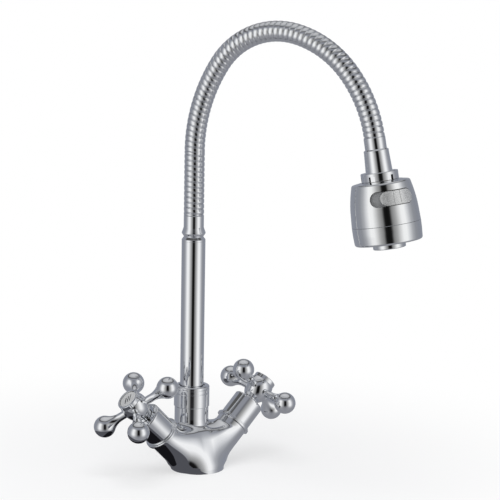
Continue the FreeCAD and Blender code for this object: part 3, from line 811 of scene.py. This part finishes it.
def lower_ferrule():
    plug_r = RISER_BORE - 0.05
    points = rounded([
        (TUBE_BORE, PLUG_Z), (plug_r, PLUG_Z, 0.3), (plug_r, RISER_TOP), (RISER_R, RISER_TOP, 0.12),
        (RISER_R, 210.6, 1.0), (8.75, 213.2, 0.4), (BEAD_R, BEAD_Z, 1.6), (SLEEVE_R, 221.6, 2.5),
        (SLEEVE_R, 232.2, 0.3), (8.4, HOSE_Z), (SEAT_R, HOSE_Z), (SEAT_R, HOSE_Z + SEAT_H),
        (TUBE_HOLE, HOSE_Z + SEAT_H), (TUBE_HOLE, TUBE_Z), (TUBE_BORE, TUBE_Z)])
    kept(turned("lower_ferrule_skin", points, RISER, 128), "spout", "chrome_tube", ["lower_ferrule"])


def upper_ferrule():
    points = rounded([
        (TUBE_HOLE, 0.0), (5.1, -6.0), (6.0, -6.0), (6.0, 0.0), (9.4, 0.0, 0.7), (9.4, 10.3, 0.4),
        (10.85, 11.3, 0.7), (10.75, 13.0, 0.6), (11.6, NUT_TOP), (FLANGE_R, NUT_TOP), (FLANGE_R, FLANGE_END),
        (TUBE_BORE, FLANGE_END), (TUBE_BORE, SEAT_H), (TUBE_HOLE, SEAT_H)])
    kept(turned("upper_ferrule_skin", points, HEAD, 128), "neck_9", "chrome_tube", ["upper_ferrule"])


def head_collar():
    points = rounded([
        (NUT_BORE, NUT_TOP, 0.25), (NUT_R, NUT_TOP, 0.8), (NUT_R, NUT_END, 0.4), (NUT_LIP_R, NUT_END),
        (NUT_LIP_R, NUT_LIP), (NUT_BORE, NUT_LIP)])
    piece = turned("head_collar_skin", points, HEAD, 128)
    notches = []
    for k in range(NOTCHES):
        spot = turn_z(360 / NOTCHES * k + NOTCH_TURN) @ Matrix.Translation((NUT_R + 0.15, 0.0, NUT_END - 1.5))
        notches.append(block(NOTCH_SIZE, HEAD @ spot))
    carved(piece, notches)
    kept(piece, "neck_9", "chrome_tube", ["head_collar"])


# ---------------------------------------------------------------- ribbed hose

def route_curve():
    """The gooseneck's centreline: a straight run and four bends, with a little over at both ends."""
    lengths = [TUBE_Z - HOSE_Z, STRAIGHT]
    radii = [None]
    for r, turn in BENDS:
        for _ in range(2):
            lengths.append(lengths[-1] + r * math.radians(turn) / 2)
            radii.append(r)
    lengths.append(HOSE + TUBE_END)
    radii.append(None)
    curve = bpy.data.curves.new("gooseneck_route", "CURVE")
    curve.dimensions = "3D"
    spline = curve.splines.new("BEZIER")
    spline.bezier_points.add(len(lengths) - 1)
    spline.resolution_u = 48
    for k in range(len(lengths)):
        point, way = on_hose(lengths[k])
        handles = []
        for other, radius in ((k - 1, k - 1), (k + 1, k)):
            if not 0 <= other < len(lengths):
                handles.append(1.0)
                continue
            run = abs(lengths[other] - lengths[k])
            r = radii[radius]
            handles.append(run / 3 if r is None else r * 4 / 3 * math.tan(run / r / 4))
        knot = spline.bezier_points[k]
        knot.co = point * MM
        knot.handle_left_type = knot.handle_right_type = "FREE"
        knot.handle_left = (point - way * handles[0]) * MM
        knot.handle_right = (point + way * handles[1]) * MM
    return new_object("gooseneck_route", curve)


def captured(tree, geometry, **fields):
    """Stores fields, given as kind and socket, on the points of the geometry."""
    made = node(tree, "GeometryNodeCaptureAttribute", domain="POINT")
    for name, (kind, field) in fields.items():
        made.capture_items.new(kind, name)
        tree.links.new(field, made.inputs[name])
    tree.links.new(geometry, made.inputs["Geometry"])
    return made.outputs


def route_part(tree, sizes):
    """The stretch of the route between two lengths, as an even row of points that know their own length."""
    route = node(tree, "GeometryNodeObjectInfo", {"Object": sizes["Route"]}, transform_space="ORIGINAL")
    even = node(tree, "GeometryNodeResampleCurve", {"Curve": route.outputs["Geometry"]}, mode="LENGTH")
    tree.links.new(sizes["Step"], even.inputs["Length"])
    along = node(tree, "GeometryNodeSplineParameter")
    middle = node(tree, "GeometryNodeInputPosition")
    known = captured(tree, even.outputs["Curve"], Length=("FLOAT", along.outputs["Length"]),
                     Middle=("VECTOR", middle.outputs["Position"]))
    part = node(tree, "GeometryNodeTrimCurve", {"Curve": known["Geometry"]}, mode="LENGTH")
    tree.links.new(sizes["From"], part.inputs[4])
    tree.links.new(sizes["To"], part.inputs[5])
    return part.outputs["Curve"], known


ROUTE_INPUTS = [
    ("Route", "Object", None), ("From", "Float", 0.0), ("To", "Float", 0.1), ("Step", "Float", 0.0004),
    ("Around", "Int", 72), ("Material", "Material", None)]
GEOMETRY = [("Geometry", "Geometry")]


def ribbed_hose_tree():
    """Skin of the ribbed hose: a tube on the route with one groove that winds round it like a thread."""
    tree, sizes = new_tree("ribbed_hose", "GeometryNodeTree", ROUTE_INPUTS + [
        ("Crest Radius", "Float", 0.009), ("Groove Depth", "Float", 0.0007),
        ("Groove Half Width", "Float", 0.0005), ("Crown", "Float", 0.0001), ("Pitch", "Float", 0.0047),
        ("First Groove", "Float", 0.0)], GEOMETRY)
    curve, known = route_part(tree, sizes)
    circle = node(tree, "GeometryNodeCurvePrimitiveCircle", {
        "Resolution": sizes["Around"], "Radius": sizes["Crest Radius"]})
    turn = node(tree, "GeometryNodeSplineParameter").outputs["Factor"]
    profile = captured(tree, circle.outputs["Curve"], Turn=("FLOAT", turn))
    skin = node(tree, "GeometryNodeCurveToMesh", {"Curve": curve, "Profile Curve": profile["Geometry"]})
    wound = arithmetic(tree, "SUBTRACT", known["Length"], sizes["First Groove"])
    wound = arithmetic(tree, "ADD", arithmetic(tree, "DIVIDE", wound, sizes["Pitch"]), profile["Turn"])
    aside = arithmetic(tree, "PINGPONG", wound, 0.5)
    wall = node(tree, "ShaderNodeMapRange", {
        "Value": arithmetic(tree, "MULTIPLY", aside, sizes["Pitch"]), "From Max": sizes["Groove Half Width"],
        "To Min": sizes["Groove Depth"], "To Max": 0.0}, interpolation_type="SMOOTHSTEP")
    middle = arithmetic(tree, "SUBTRACT", 0.5, aside)
    bow = arithmetic(tree, "POWER", arithmetic(tree, "MULTIPLY", middle, 2.0), 2.0)
    fall = arithmetic(tree, "MULTIPLY", bow, sizes["Crown"])
    deep = arithmetic(tree, "ADD", wall.outputs["Result"], fall)
    position = node(tree, "GeometryNodeInputPosition").outputs["Position"]
    outward = vector_math(tree, "NORMALIZE", vector_math(tree, "SUBTRACT", position, known["Middle"]))
    inward = node(tree, "ShaderNodeVectorMath", {
        0: outward, "Scale": arithmetic(tree, "MULTIPLY", deep, -1.0)}, operation="SCALE")
    formed = node(tree, "GeometryNodeSetPosition", {
        "Geometry": skin.outputs["Mesh"], "Offset": inward.outputs["Vector"]})
    return ended(tree, formed.outputs["Geometry"], sizes["Material"])


def water_tube_tree():
    """Plain tube on the route."""
    tree, sizes = new_tree("water_tube", "GeometryNodeTree", ROUTE_INPUTS + [("Radius", "Float", 0.0045)],
                           GEOMETRY)
    curve, _ = route_part(tree, sizes)
    circle = node(tree, "GeometryNodeCurvePrimitiveCircle", {
        "Resolution": sizes["Around"], "Radius": sizes["Radius"]})
    skin = node(tree, "GeometryNodeCurveToMesh", {"Curve": curve, "Profile Curve": circle.outputs["Curve"]})
    return ended(tree, skin.outputs["Mesh"], sizes["Material"])


def ended(tree, geometry, material):
    """Ends a tree with real geometry in its material."""
    real = node(tree, "GeometryNodeRealizeInstances", {"Geometry": geometry})
    painted = node(tree, "GeometryNodeSetMaterial", {
        "Geometry": real.outputs["Geometry"], "Material": material})
    node(tree, "NodeGroupOutput", {"Geometry": painted.outputs["Geometry"]})
    return tree


def grown(name, tree, values):
    """Runs a tree on an empty mesh and keeps the result as a plain piece."""
    piece = new_object(name, bpy.data.meshes.new(name))
    modifier = piece.modifiers.new("form", "NODES")
    modifier.node_group = tree
    for item in tree.interface.items_tree:
        if item.item_type == "SOCKET" and item.in_out == "INPUT" and item.name in values:
            modifier[item.identifier] = values[item.name]
    return settled(piece)


def outward_faces(piece, middle):
    """Turns the faces of an open tube outwards, away from the middle of its first ring."""
    face = piece.data.polygons[0]
    if face.normal.dot(face.center - middle) < 0:
        piece.data.flip_normals()


def neck_piece(name, tree, joint, ends, slot, wall, nodes, values):
    """Tube along the route between two lengths, around a joint of the neck."""
    over = HOSE_Z - TUBE_Z
    start, end = ends
    piece = grown(name, tree, {
        "From": (over + start) * MM, "To": (over + end) * MM, "Material": FINISH[slot], **values})
    outward_faces(piece, on_hose(start)[0] * MM)
    shell = piece.modifiers.new("wall", "SOLIDIFY")
    shell.thickness = wall * MM
    shell.offset = -1.0
    shell.use_rim = True
    kept(settled(piece), None, slot, crease=75.0)
    first, last = (on_hose((joint + half) * SECTION)[0] * MM for half in (-0.5, 0.5))
    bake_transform(piece)
    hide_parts(*nodes)


def gooseneck():
    route = route_curve()
    hose_tree = ribbed_hose_tree()
    tube_tree = water_tube_tree()
    hose_values = {
        "Route": route, "Step": 0.0004, "Around": 80, "Crest Radius": CREST_R * MM, "Pitch": PITCH * MM,
        "Groove Depth": GROOVE_DEPTH * MM, "Groove Half Width": GROOVE_HALF * MM, "Crown": RIB_CROWN * MM,
        "First Groove": (HOSE_Z - TUBE_Z) * MM}
    tube_values = {"Route": route, "Step": 0.002, "Around": 32, "Radius": TUBE_R * MM}
    for joint in range(1, SECTIONS):
        first = (joint - 0.5) * SECTION
        last = (joint + 0.5) * SECTION
        is_first = joint == 1
        is_last = joint == SECTIONS - 1
        ends = (0.0 if is_first else first, HOSE if is_last else last)
        sections = ["gooseneck_" + str(joint), "gooseneck_" + str(joint + 1)]
        neck_piece("ribbed_hose_" + str(joint), hose_tree, joint, ends, "chrome_hose", HOSE_WALL,
                   sections, hose_values)
        ends = (TUBE_Z - HOSE_Z if is_first else first, HOSE + TUBE_END if is_last else last)
        neck_piece("water_tube_" + str(joint), tube_tree, joint, ends, "rubber", TUBE_R - TUBE_BORE,
                   ["inner_hose"], tube_values)
    bpy.data.objects.remove(route)


# ---------------------------------------------------------------- bonnets and handles

def bonnet(side):
    """Sleeve with a stepped ring at its foot and a round shoulder at its top."""
    ring_top = ARM_END + 2.2
    step_top = ring_top + 1.2
    points = rounded([
        (BONNET_BORE, ARM_END + 0.05), (RING_R, ARM_END + 0.05, 0.3), (RING_R, ring_top, 0.5),
        (STEP_R, ring_top, 0.12), (STEP_R, step_top, 0.4), (BONNET_R, step_top, 0.15),
        (BONNET_R, BONNET_TOP, 1.5), (BONNET_HOLE, BONNET_TOP, 0.3), (BONNET_HOLE, BONNET_ROOF),
        (BONNET_BORE, BONNET_ROOF)])
    piece = turned(side + "_bonnet_skin", points, valve_frame(side), 128)
    kept(piece, "base", "chrome_body", [side + "_bonnet"])


def hub_profile():
    """Barrel of the hub: an arc through three points, the bore for the spindle and the screw's recess."""
    low, mid, high = (Vector(corner) for corner in HUB_BARREL)
    rest = rounded([
        (high.x, HUB_TOP), (HUB_RECESS, HUB_TOP, 0.2), (HUB_RECESS, 98.0), (SCREW_HOLE, 98.0),
        (SCREW_HOLE, 94.5), (SPINDLE_HOLE, 94.5), (SPINDLE_HOLE, HUB_FOOT), (low.x, HUB_FOOT, 0.2),
        (low.x, low.y)], closed=False)
    return arc_points(low, mid, high, 20)[:-1] + rest[:-1]


def arc_points(a, b, c, steps):
    """Points of the circle through a, b and c, from a to c."""
    d = 2 * (a.x * (b.y - c.y) + b.x * (c.y - a.y) + c.x * (a.y - b.y))
    x = (a.dot(a) * (b.y - c.y) + b.dot(b) * (c.y - a.y) + c.dot(c) * (a.y - b.y)) / d
    y = (a.dot(a) * (c.x - b.x) + b.dot(b) * (a.x - c.x) + c.dot(c) * (b.x - a.x)) / d
    centre = Vector((x, y))
    start = math.atan2(a.y - y, a.x - x)
    end = math.atan2(c.y - y, c.x - x)
    r = (a - centre).length
    return [centre + Vector((math.cos(t), math.sin(t))) * r for t in np.linspace(start, end, steps + 1)]


def knob_profile():
    """One spoke and its ball, along Z. The spoke flares into the ball without an edge."""
    down = SPOKE_R + FLARE_R
    reach = FLARE_R + KNOB_R
    across = math.sqrt(reach * reach - down * down)
    begin = KNOB_REACH - across
    points = [Vector((0.0, SPOKE_ROOT)), Vector((SPOKE_R, SPOKE_ROOT)), Vector((SPOKE_R, begin))]
    points = with_supports(points, False)
    for t in np.linspace(0, math.atan2(across, down), 14)[1:]:
        points.append(Vector((down - FLARE_R * math.cos(t), begin + FLARE_R * math.sin(t))))
    for t in np.linspace(math.atan2(down, -across), 0, 34)[1:]:
        points.append(Vector((abs(KNOB_R * math.sin(t)), KNOB_REACH + KNOB_R * math.cos(t))))
    points[-1].x = 0.0
    return points


def handle(side):
    place = valve_frame(side)
    shape = bmesh.new()
    turned_shell(shape, hub_profile(), place, 112)
    for k in range(SPOKES):
        spoke = turn_z(TURNED[side] + 360 / SPOKES * k) @ Matrix.Translation((0.0, 0.0, BALL_S))
        spoke = spoke @ Matrix.Rotation(math.radians(90), 4, "Y")
        turned_shell(shape, knob_profile(), place @ spoke, 72, closed=False)
    piece = object_from(side + "_handle_skin", shape)
    kept(piece, side + "_valve", "chrome_body", [side + "_handle"])


def cap(side):
    """Cap ring, the index disc in it, and the plain strokes on the disc."""
    place = valve_frame(side)
    body = side + "_valve"
    ring_foot = HUB_TOP + 0.05
    lip = INDEX_R + 0.1
    points = rounded([
        (0.0, CAP_ROOT), (CAP_PLUG, CAP_ROOT), (CAP_PLUG, ring_foot), (CAP_R, ring_foot, 0.3),
        (CAP_R, CAP_TOP, 0.7), (lip, CAP_TOP, 0.3), (lip, CAP_FLOOR), (0.0, CAP_FLOOR)], closed=False)
    piece = turned(side + "_cap_ring_skin", points, place, 112, closed=False)
    kept(piece, body, "chrome_body", [side + "_cap_ring"])
    edge = INDEX_R - 0.2
    points = rounded([(0.0, CAP_FLOOR), (edge, CAP_FLOOR), (edge, INDEX_TOP, 0.5), (0.0, INDEX_TOP)],
                     closed=False)
    piece = turned(side + "_index_disc_skin", points, place, 112, closed=False)
    kept(piece, body, "satin_plastic", [side + "_index_disc"])
    for k in range(MARK_STROKES):
        aside = (k - (MARK_STROKES - 1) / 2) * MARK_PITCH
        spot = turn_z(MARK_TURN) @ Matrix.Translation((aside, 0.0, INDEX_TOP + 0.01)) @ turn_z(-MARK_SLANT)
        stroke = block((MARK_WIDTH, MARK_LENGTH, MARK_THICK), place @ spot)
        stroke.name = side + "_index_mark_" + str(k + 1)
        kept(stroke, body, "satin_plastic", material=INK)


# ---------------------------------------------------------------- spray head

def side_profile(grow=0.0):
    """Corners of the shell's side, grown outwards, with its long curves between the first and the last."""
    corners = [(r + grow, t) for r, t in HEAD_SIDE]
    return [corner + (SIDE_CURVE,) if 0 < k < 3 else corner for k, corner in enumerate(corners)]


def slot_tool(r, ends, low=22.0, high=36.0):
    """Solid of the slot: a band round the head with round ends."""
    start, end = (math.radians(a) for a in ends)
    steps = 24
    run = 28
    outline = []
    for angle, other, first in ((end, start, -math.pi / 2), (start, end, math.pi / 2)):
        for k in range(steps + 1):
            t = first + math.pi * k / steps
            outline.append((angle, math.cos(t), math.sin(t)))
        for k in range(1, run):
            outline.append((angle + (other - angle) * k / run, 0.0, math.sin(first + math.pi)))
    shape = bmesh.new()
    rings = []
    for radius in (low, high):
        ring = []
        for angle, aside, up in outline:
            way = Vector((math.cos(angle), math.sin(angle), 0.0))
            tangent = Vector((-math.sin(angle), math.cos(angle), 0.0))
            corner = way * radius + tangent * (aside * r) + UP * (SLOT_T + up * r)
            ring.append(shape.verts.new(HEAD @ corner))
        rings.append(ring)
    inner, outer = rings
    count = len(outline)
    for k in range(count):
        n = (k + 1) % count
        shape.faces.new((inner[k], inner[n], outer[n], outer[k]))
    for ring in rings:
        hub = shape.verts.new(sum((v.co for v in ring), Vector()) / count)
        for k in range(count):
            shape.faces.new((ring[k], ring[(k + 1) % count], hub))
    bmesh.ops.recalc_face_normals(shape, faces=shape.faces[:])
    return object_from("slot", shape)


def head_shell():
    side = side_profile()
    side[0] = side[0] + (2.0,)
    side[3] = side[3] + (0.25,)
    points = rounded([
        (INLET_HOLE, HEAD_TOP), (17.0, HEAD_TOP, 0.5), *side, (CORE_R, SEAM_T), (CORE_R, 46.0),
        (ROOF_R, 46.0), (ROOF_R, ROOF_T), (INLET_HOLE, ROOF_T)])
    piece = turned("head_shell_skin", points, HEAD, 160)
    carved(piece, [slot_tool(SLOT_R, SLOT_ENDS)])
    kept(piece, "spray_head", "chrome_plastic", ["head_shell"])


def head_skirt():
    lip = PLATE_R + 0.1
    points = rounded([
        (SKIRT_BORE, SEAM_T + 0.1), (30.0, SEAM_T + 0.1, 0.25), (29.95, 82.0, 60.0), (29.4, SKIRT_END, 2.0),
        (lip, SKIRT_END, 0.5), (lip, PLATE_T), (SKIRT_BORE, PLATE_T)])
    piece = turned("head_skirt_skin", points, HEAD, 160)
    kept(piece, "spray_head", "chrome_plastic", ["head_skirt"])


def mode_slider():
    """Slider cut from a shell that stands a little proud of the head, with two fine lines across it."""
    points = rounded([(SLIDER_IN, 40.0), *side_profile(SLIDER_PROUD), (SLIDER_IN, SEAM_T)])
    piece = turned("mode_slider_skin", points, HEAD, 240)
    carved(piece, [slot_tool(SLOT_R - SLIDER_GAP, SLIDER_ENDS)], "INTERSECT")
    lines = []
    for angle in SLIDER_LINES:
        spot = turn_z(angle) @ Matrix.Translation((30.0, 0.0, SLOT_T))
        spot = spot @ Matrix.Rotation(SIDE_LEAN, 4, "Y")
        lines.append(block(LINE_SIZE, HEAD @ spot))
    carved(piece, lines)
    edge = piece.modifiers.new("edge", "BEVEL")
    edge.width = 0.22 * MM
    edge.segments = 2
    edge.limit_method = "ANGLE"
    edge.angle_limit = math.radians(50)
    settled(piece)
    kept(piece, "mode_switch", "chrome_plastic", ["mode_slider"], material=SLIDER)


def slider_marks():
    """Six fine dots on one end of the slider and one short stroke on the other, for its two jets."""
    marks = []
    for column in (-1, 1):
        for row in (-1, 0, 1):
            rise = row * DOT_PITCH
            face = Matrix.Translation((MARK_FACE + rise * MARK_SLOPE, 0.0, SLOT_T + rise))
            spot = turn_z(SLIDER_DOTS + column * DOT_TURN) @ face
            spot = spot @ Matrix.Rotation(math.radians(90) + SIDE_LEAN, 4, "Y")
            dot = rod(DOT_R, 0.0, MARK_THICK, HEAD @ spot, 20)
            dot.name = "slider_dot_" + str(len(marks) + 1)
            marks.append(dot)
    spot = turn_z(SLIDER_STROKE) @ Matrix.Translation((MARK_FACE, 0.0, SLOT_T))
    stroke = block(STROKE_SIZE, HEAD @ spot @ Matrix.Rotation(SIDE_LEAN, 4, "Y"))
    stroke.name = "slider_stroke"
    marks.append(stroke)
    for mark in marks:
        kept(mark, "mode_switch", "grey_plastic")


def nozzle_ring():
    points = rounded([(NOZZLE_BORE, PLATE_END), (NOZZLE_R, PLATE_END, 0.2), (NOZZLE_R, NOZZLE_END, 0.8),
                      (NOZZLE_BORE, NOZZLE_END, 0.4)])
    kept(turned("nozzle_ring_skin", points, HEAD, 112), "spray_head", "chrome_plastic", ["nozzle_ring"])


def spray_plate():
    points = rounded([(NOZZLE_BORE, PLATE_T), (PLATE_R, PLATE_T), (PLATE_R, PLATE_END, 0.3),
                      (NOZZLE_BORE, PLATE_END)])
    kept(turned("spray_plate_skin", points, HEAD, 128), "spray_head", "grey_plastic", ["spray_plate"])


def jets_tree():
    """Two rings of soft jets: a turned nub on each point of two circles."""
    tree, sizes = new_tree("spray_jets", "GeometryNodeTree", [
        ("Jet", "Object", None), ("Inner Radius", "Float", 0.017), ("Inner Count", "Int", 14),
        ("Outer Radius", "Float", 0.021), ("Outer Count", "Int", 18), ("Material", "Material", None)],
        GEOMETRY)
    jet = node(tree, "GeometryNodeObjectInfo", {"Object": sizes["Jet"]})
    join = node(tree, "GeometryNodeJoinGeometry")
    for ring in ("Inner", "Outer"):
        circle = node(tree, "GeometryNodeMeshCircle", {
            "Vertices": sizes[ring + " Count"], "Radius": sizes[ring + " Radius"]})
        spots = node(tree, "GeometryNodeInstanceOnPoints", {
            "Points": circle.outputs["Mesh"], "Instance": jet.outputs["Geometry"]})
        tree.links.new(spots.outputs["Instances"], join.inputs["Geometry"])
    return ended(tree, join.outputs["Geometry"], sizes["Material"])


def spray_jets():
    root = PLATE_T - 0.8
    tip = PLATE_END + 1.0
    points = rounded([(JET_BORE, root), (1.6, root), (1.6, PLATE_T), (1.1, PLATE_T), (0.9, tip, 0.2),
                      (JET_BORE, tip, 0.15)])
    jet = turned("spray_jet", points, Matrix.Identity(4), 14)
    (inner, inner_count), (outer, outer_count) = JET_RINGS
    piece = grown("spray_jets_skin", jets_tree(), {
        "Jet": jet, "Inner Radius": inner * MM, "Inner Count": inner_count, "Outer Radius": outer * MM,
        "Outer Count": outer_count, "Material": FINISH["soft_grey"]})
    drop(jet)
    place = HEAD.copy()
    place.translation *= MM
    piece.data.transform(place)
    kept(piece, "spray_head", "soft_grey", ["spray_jets"])


# ---------------------------------------------------------------- solids that stay

def dress_solids():
    """Gives every CAD solid the material of its slot."""
    for part in frame["record"]["subparts"]:
        piece = frame["nodes"][part["node"]]
        for slot in piece.material_slots:
            slot.material = FINISH[part["material_slot"]]


# ---------------------------------------------------------------- studio

def to_camera():
    flat = math.cos(CAMERA_ELEVATION)
    x = math.sin(CAMERA_AZIMUTH) * flat
    y = -math.cos(CAMERA_AZIMUTH) * flat
    return Vector((x, y, math.sin(CAMERA_ELEVATION)))


def camera():
    lens = bpy.data.cameras.new("camera")
    lens.lens = CAMERA_LENS
    lens.sensor_width = 36.0
    lens.shift_x, lens.shift_y = CAMERA_SHIFT
    lens.clip_end = 100.0
    away = to_camera()
    right = Vector((math.cos(CAMERA_AZIMUTH), math.sin(CAMERA_AZIMUTH), 0.0))
    up = away.cross(right)
    x = right * math.cos(CAMERA_ROLL) + up * math.sin(CAMERA_ROLL)
    y = up * math.cos(CAMERA_ROLL) - right * math.sin(CAMERA_ROLL)
    viewer = new_object("camera", lens)
    turn = Matrix((x, y, away)).transposed().to_4x4()
    viewer.matrix_world = Matrix.Translation(AIM + away * CAMERA_AWAY) @ turn
    bpy.context.scene.camera = viewer


def bare_material(name):
    material = bpy.data.materials.new(name)
    material.use_nodes = True
    material.node_tree.nodes.clear()
    return material, material.node_tree


def studio_piece(name, shape, material, hidden_from):
    """Mesh of the studio, which isn't part of the faucet, hidden from the named kinds of rays."""
    mesh = bpy.data.meshes.new(name)
    shape.to_mesh(mesh)
    shape.free()
    mesh.materials.append(material)
    piece = new_object(name, mesh)
    hide(piece, hidden_from)
    return piece


def hide(piece, kinds):
    for kind in kinds:
        setattr(piece, "visible_" + kind, False)


def seen_rays(tree):
    """1 for what the camera sees, also in reflections and through glass, and 0 for the light itself."""
    path = node(tree, "ShaderNodeLightPath").outputs
    straight = arithmetic(tree, "MAXIMUM", path["Is Camera Ray"], path["Is Glossy Ray"])
    return arithmetic(tree, "MAXIMUM", straight, path["Is Transmission Ray"])


def ramp(tree, share, colours):
    """Colour ramp. Each stop has a position and a grey or a colour."""
    made = node(tree, "ShaderNodeValToRGB", {"Fac": share})
    elements = made.color_ramp.elements
    while len(elements) < len(colours):
        elements.new(0.5)
    for element, (position, colour) in zip(elements, colours):
        element.position = position
        element.color = (*colour, 1.0) if isinstance(colour, tuple) else (colour, colour, colour, 1.0)
    return made.outputs["Color"]


def wall_colour(angle, value):
    """Brightness of the tent's wall as a colour, neutral at the soft boxes and cooler far behind."""
    cool = min(max((angle - 60) / 60, 0.0), 1.0)
    return value * (1 - cool * 0.05), value, value * (1 + cool * 0.15)


def studio_tent():
    """Round tent with the soft boxes and the dark gap, seen only in reflections and as soft light."""
    material, tree = bare_material("studio_tent")
    way = vector_math(tree, "NORMALIZE", node(tree, "ShaderNodeTexCoord").outputs["Object"])
    level = vector_math(tree, "NORMALIZE", vector_math(tree, "MULTIPLY", way, (1.0, 1.0, 0.0)))
    azimuth = CAMERA_AZIMUTH + FRONT_TURN
    front = vector_math(tree, "DOT_PRODUCT", level, (math.sin(azimuth), -math.cos(azimuth), 0.0))
    share = arithmetic(tree, "DIVIDE", arithmetic(tree, "ARCCOSINE", front), math.pi)
    walls = ramp(tree, share, [(angle / 180, wall_colour(angle, value)) for angle, value in AROUND])
    z = node(tree, "ShaderNodeSeparateXYZ", {"Vector": way}).outputs["Z"]
    height = node(tree, "ShaderNodeMapRange", {"Value": z, "From Min": -1.0, "From Max": 1.0})
    low = ramp(tree, height.outputs["Result"], TENT_LOW)
    high = ramp(tree, height.outputs["Result"], TENT_HIGH)
    above = vector_math(tree, "DOT_PRODUCT", way, OVERHEAD)
    inside = ramp(tree, above, OVERHEAD_EDGE)
    box = ramp(tree, above, OVERHEAD_GLOW)
    sides = mixed(tree, low, walls, UNDER_COLOUR)
    sides = mixed(tree, high, sides, OVER_COLOUR)
    glow = node(tree, "ShaderNodeEmission", {"Color": mixed(tree, inside, sides, box)})
    node(tree, "ShaderNodeOutputMaterial", {"Surface": glow.outputs["Emission"]})
    shape = bmesh.new()
    bmesh.ops.create_uvsphere(shape, u_segments=96, v_segments=48, radius=TENT_R)
    bmesh.ops.reverse_faces(shape, faces=shape.faces[:])
    studio_piece("studio_tent", shape, material, ("camera", "shadow", "transmission"))


def floor():
    """Pale floor. It keeps the faucet's soft shadow and turns into the white of the backdrop further out."""
    material, tree = bare_material("pale_floor")
    diffuse = node(tree, "ShaderNodeBsdfDiffuse", {"Color": FLOOR_COLOUR})
    white = node(tree, "ShaderNodeEmission", {"Color": WHITE})
    away = vector_math(tree, "LENGTH", node(tree, "ShaderNodeTexCoord").outputs["Object"])
    edge = node(tree, "ShaderNodeMapRange", {
        "Value": away, "From Min": 0.05, "From Max": 0.45, "To Min": 0.62, "To Max": 1.0},
        interpolation_type="SMOOTHSTEP")
    share = arithmetic(tree, "MULTIPLY", edge.outputs["Result"], seen_rays(tree))
    mix = node(tree, "ShaderNodeMixShader", {
        "Fac": share, 1: diffuse.outputs["BSDF"], 2: white.outputs["Emission"]})
    node(tree, "ShaderNodeOutputMaterial", {"Surface": mix.outputs["Shader"]})
    shape = bmesh.new()
    bmesh.ops.create_grid(shape, x_segments=8, y_segments=8, size=3.5)
    ground = studio_piece("floor", shape, material, ("glossy",))
    ground.location = (0.0, 0.0, -0.0001)


def card(name, glow, place, size):
    """Dark sheet on the floor, seen only in the reflections of the low parts: painted shade of the floor near
    the foot and under the left arm.
    """
    material, tree = bare_material(name)
    shade = node(tree, "ShaderNodeEmission", {"Color": (*glow, 1.0)})
    node(tree, "ShaderNodeOutputMaterial", {"Surface": shade.outputs["Emission"]})
    shape = bmesh.new()
    bmesh.ops.create_circle(shape, cap_ends=True, segments=64, radius=1.0)
    shape.transform(Matrix.Translation(place) @ Matrix.Diagonal((*size, 1.0, 1.0)))
    studio_piece(name, shape, material, ("camera", "diffuse", "shadow", "transmission"))


def world():
    """White backdrop for the camera, reflections and glass; a soft grey for the light itself."""
    sky = bpy.data.worlds.new("world")
    bpy.context.scene.world = sky
    sky.use_nodes = True
    tree = sky.node_tree
    tree.nodes.clear()
    soft = node(tree, "ShaderNodeBackground", {"Color": (0.9, 0.9, 0.92, 1.0), "Strength": 0.5})
    white = node(tree, "ShaderNodeBackground", {"Color": WHITE, "Strength": 1.0})
    mix = node(tree, "ShaderNodeMixShader", {
        "Fac": seen_rays(tree), 1: soft.outputs["Background"], 2: white.outputs["Background"]})
    node(tree, "ShaderNodeOutputWorld", {"Surface": mix.outputs["Shader"]})


def lamp(name, place, aim, size, power):
    """Large soft lamp for the matt surfaces and the floor. Its reflection is the tent's."""
    light = bpy.data.lights.new(name, "AREA")
    light.shape = "DISK"
    light.size = size
    light.energy = power
    source = new_object(name, light)
    way = Vector(aim) - Vector(place)
    source.location = place
    source.rotation_euler = way.to_track_quat("-Z", "Y").to_euler()
    hide(source, ("glossy", "camera"))


# ---------------------------------------------------------------- build the scene

camera()
world()
studio_tent()
floor()
# Painted shade in the reflections: two dark sheets that darken what the low chrome parts mirror.
card("black_card", *BLACK_SHADE_SHEET)
card("grey_card", *GREY_SHADE_SHEET)
lamp("top_softbox", *TOP_SOFTBOX)
lamp("front_softbox", *FRONT_SOFTBOX)

dress_solids()
valve_body()
spout_collar()
riser_tube()
lower_ferrule()
gooseneck()
for side in SIDE:
    bonnet(side)
    handle(side)
    cap(side)
upper_ferrule()
head_collar()
head_shell()
head_skirt()
mode_slider()
slider_marks()
nozzle_ring()
spray_plate()
spray_jets()

scene = bpy.context.scene
scene.view_settings.view_transform = "Standard"
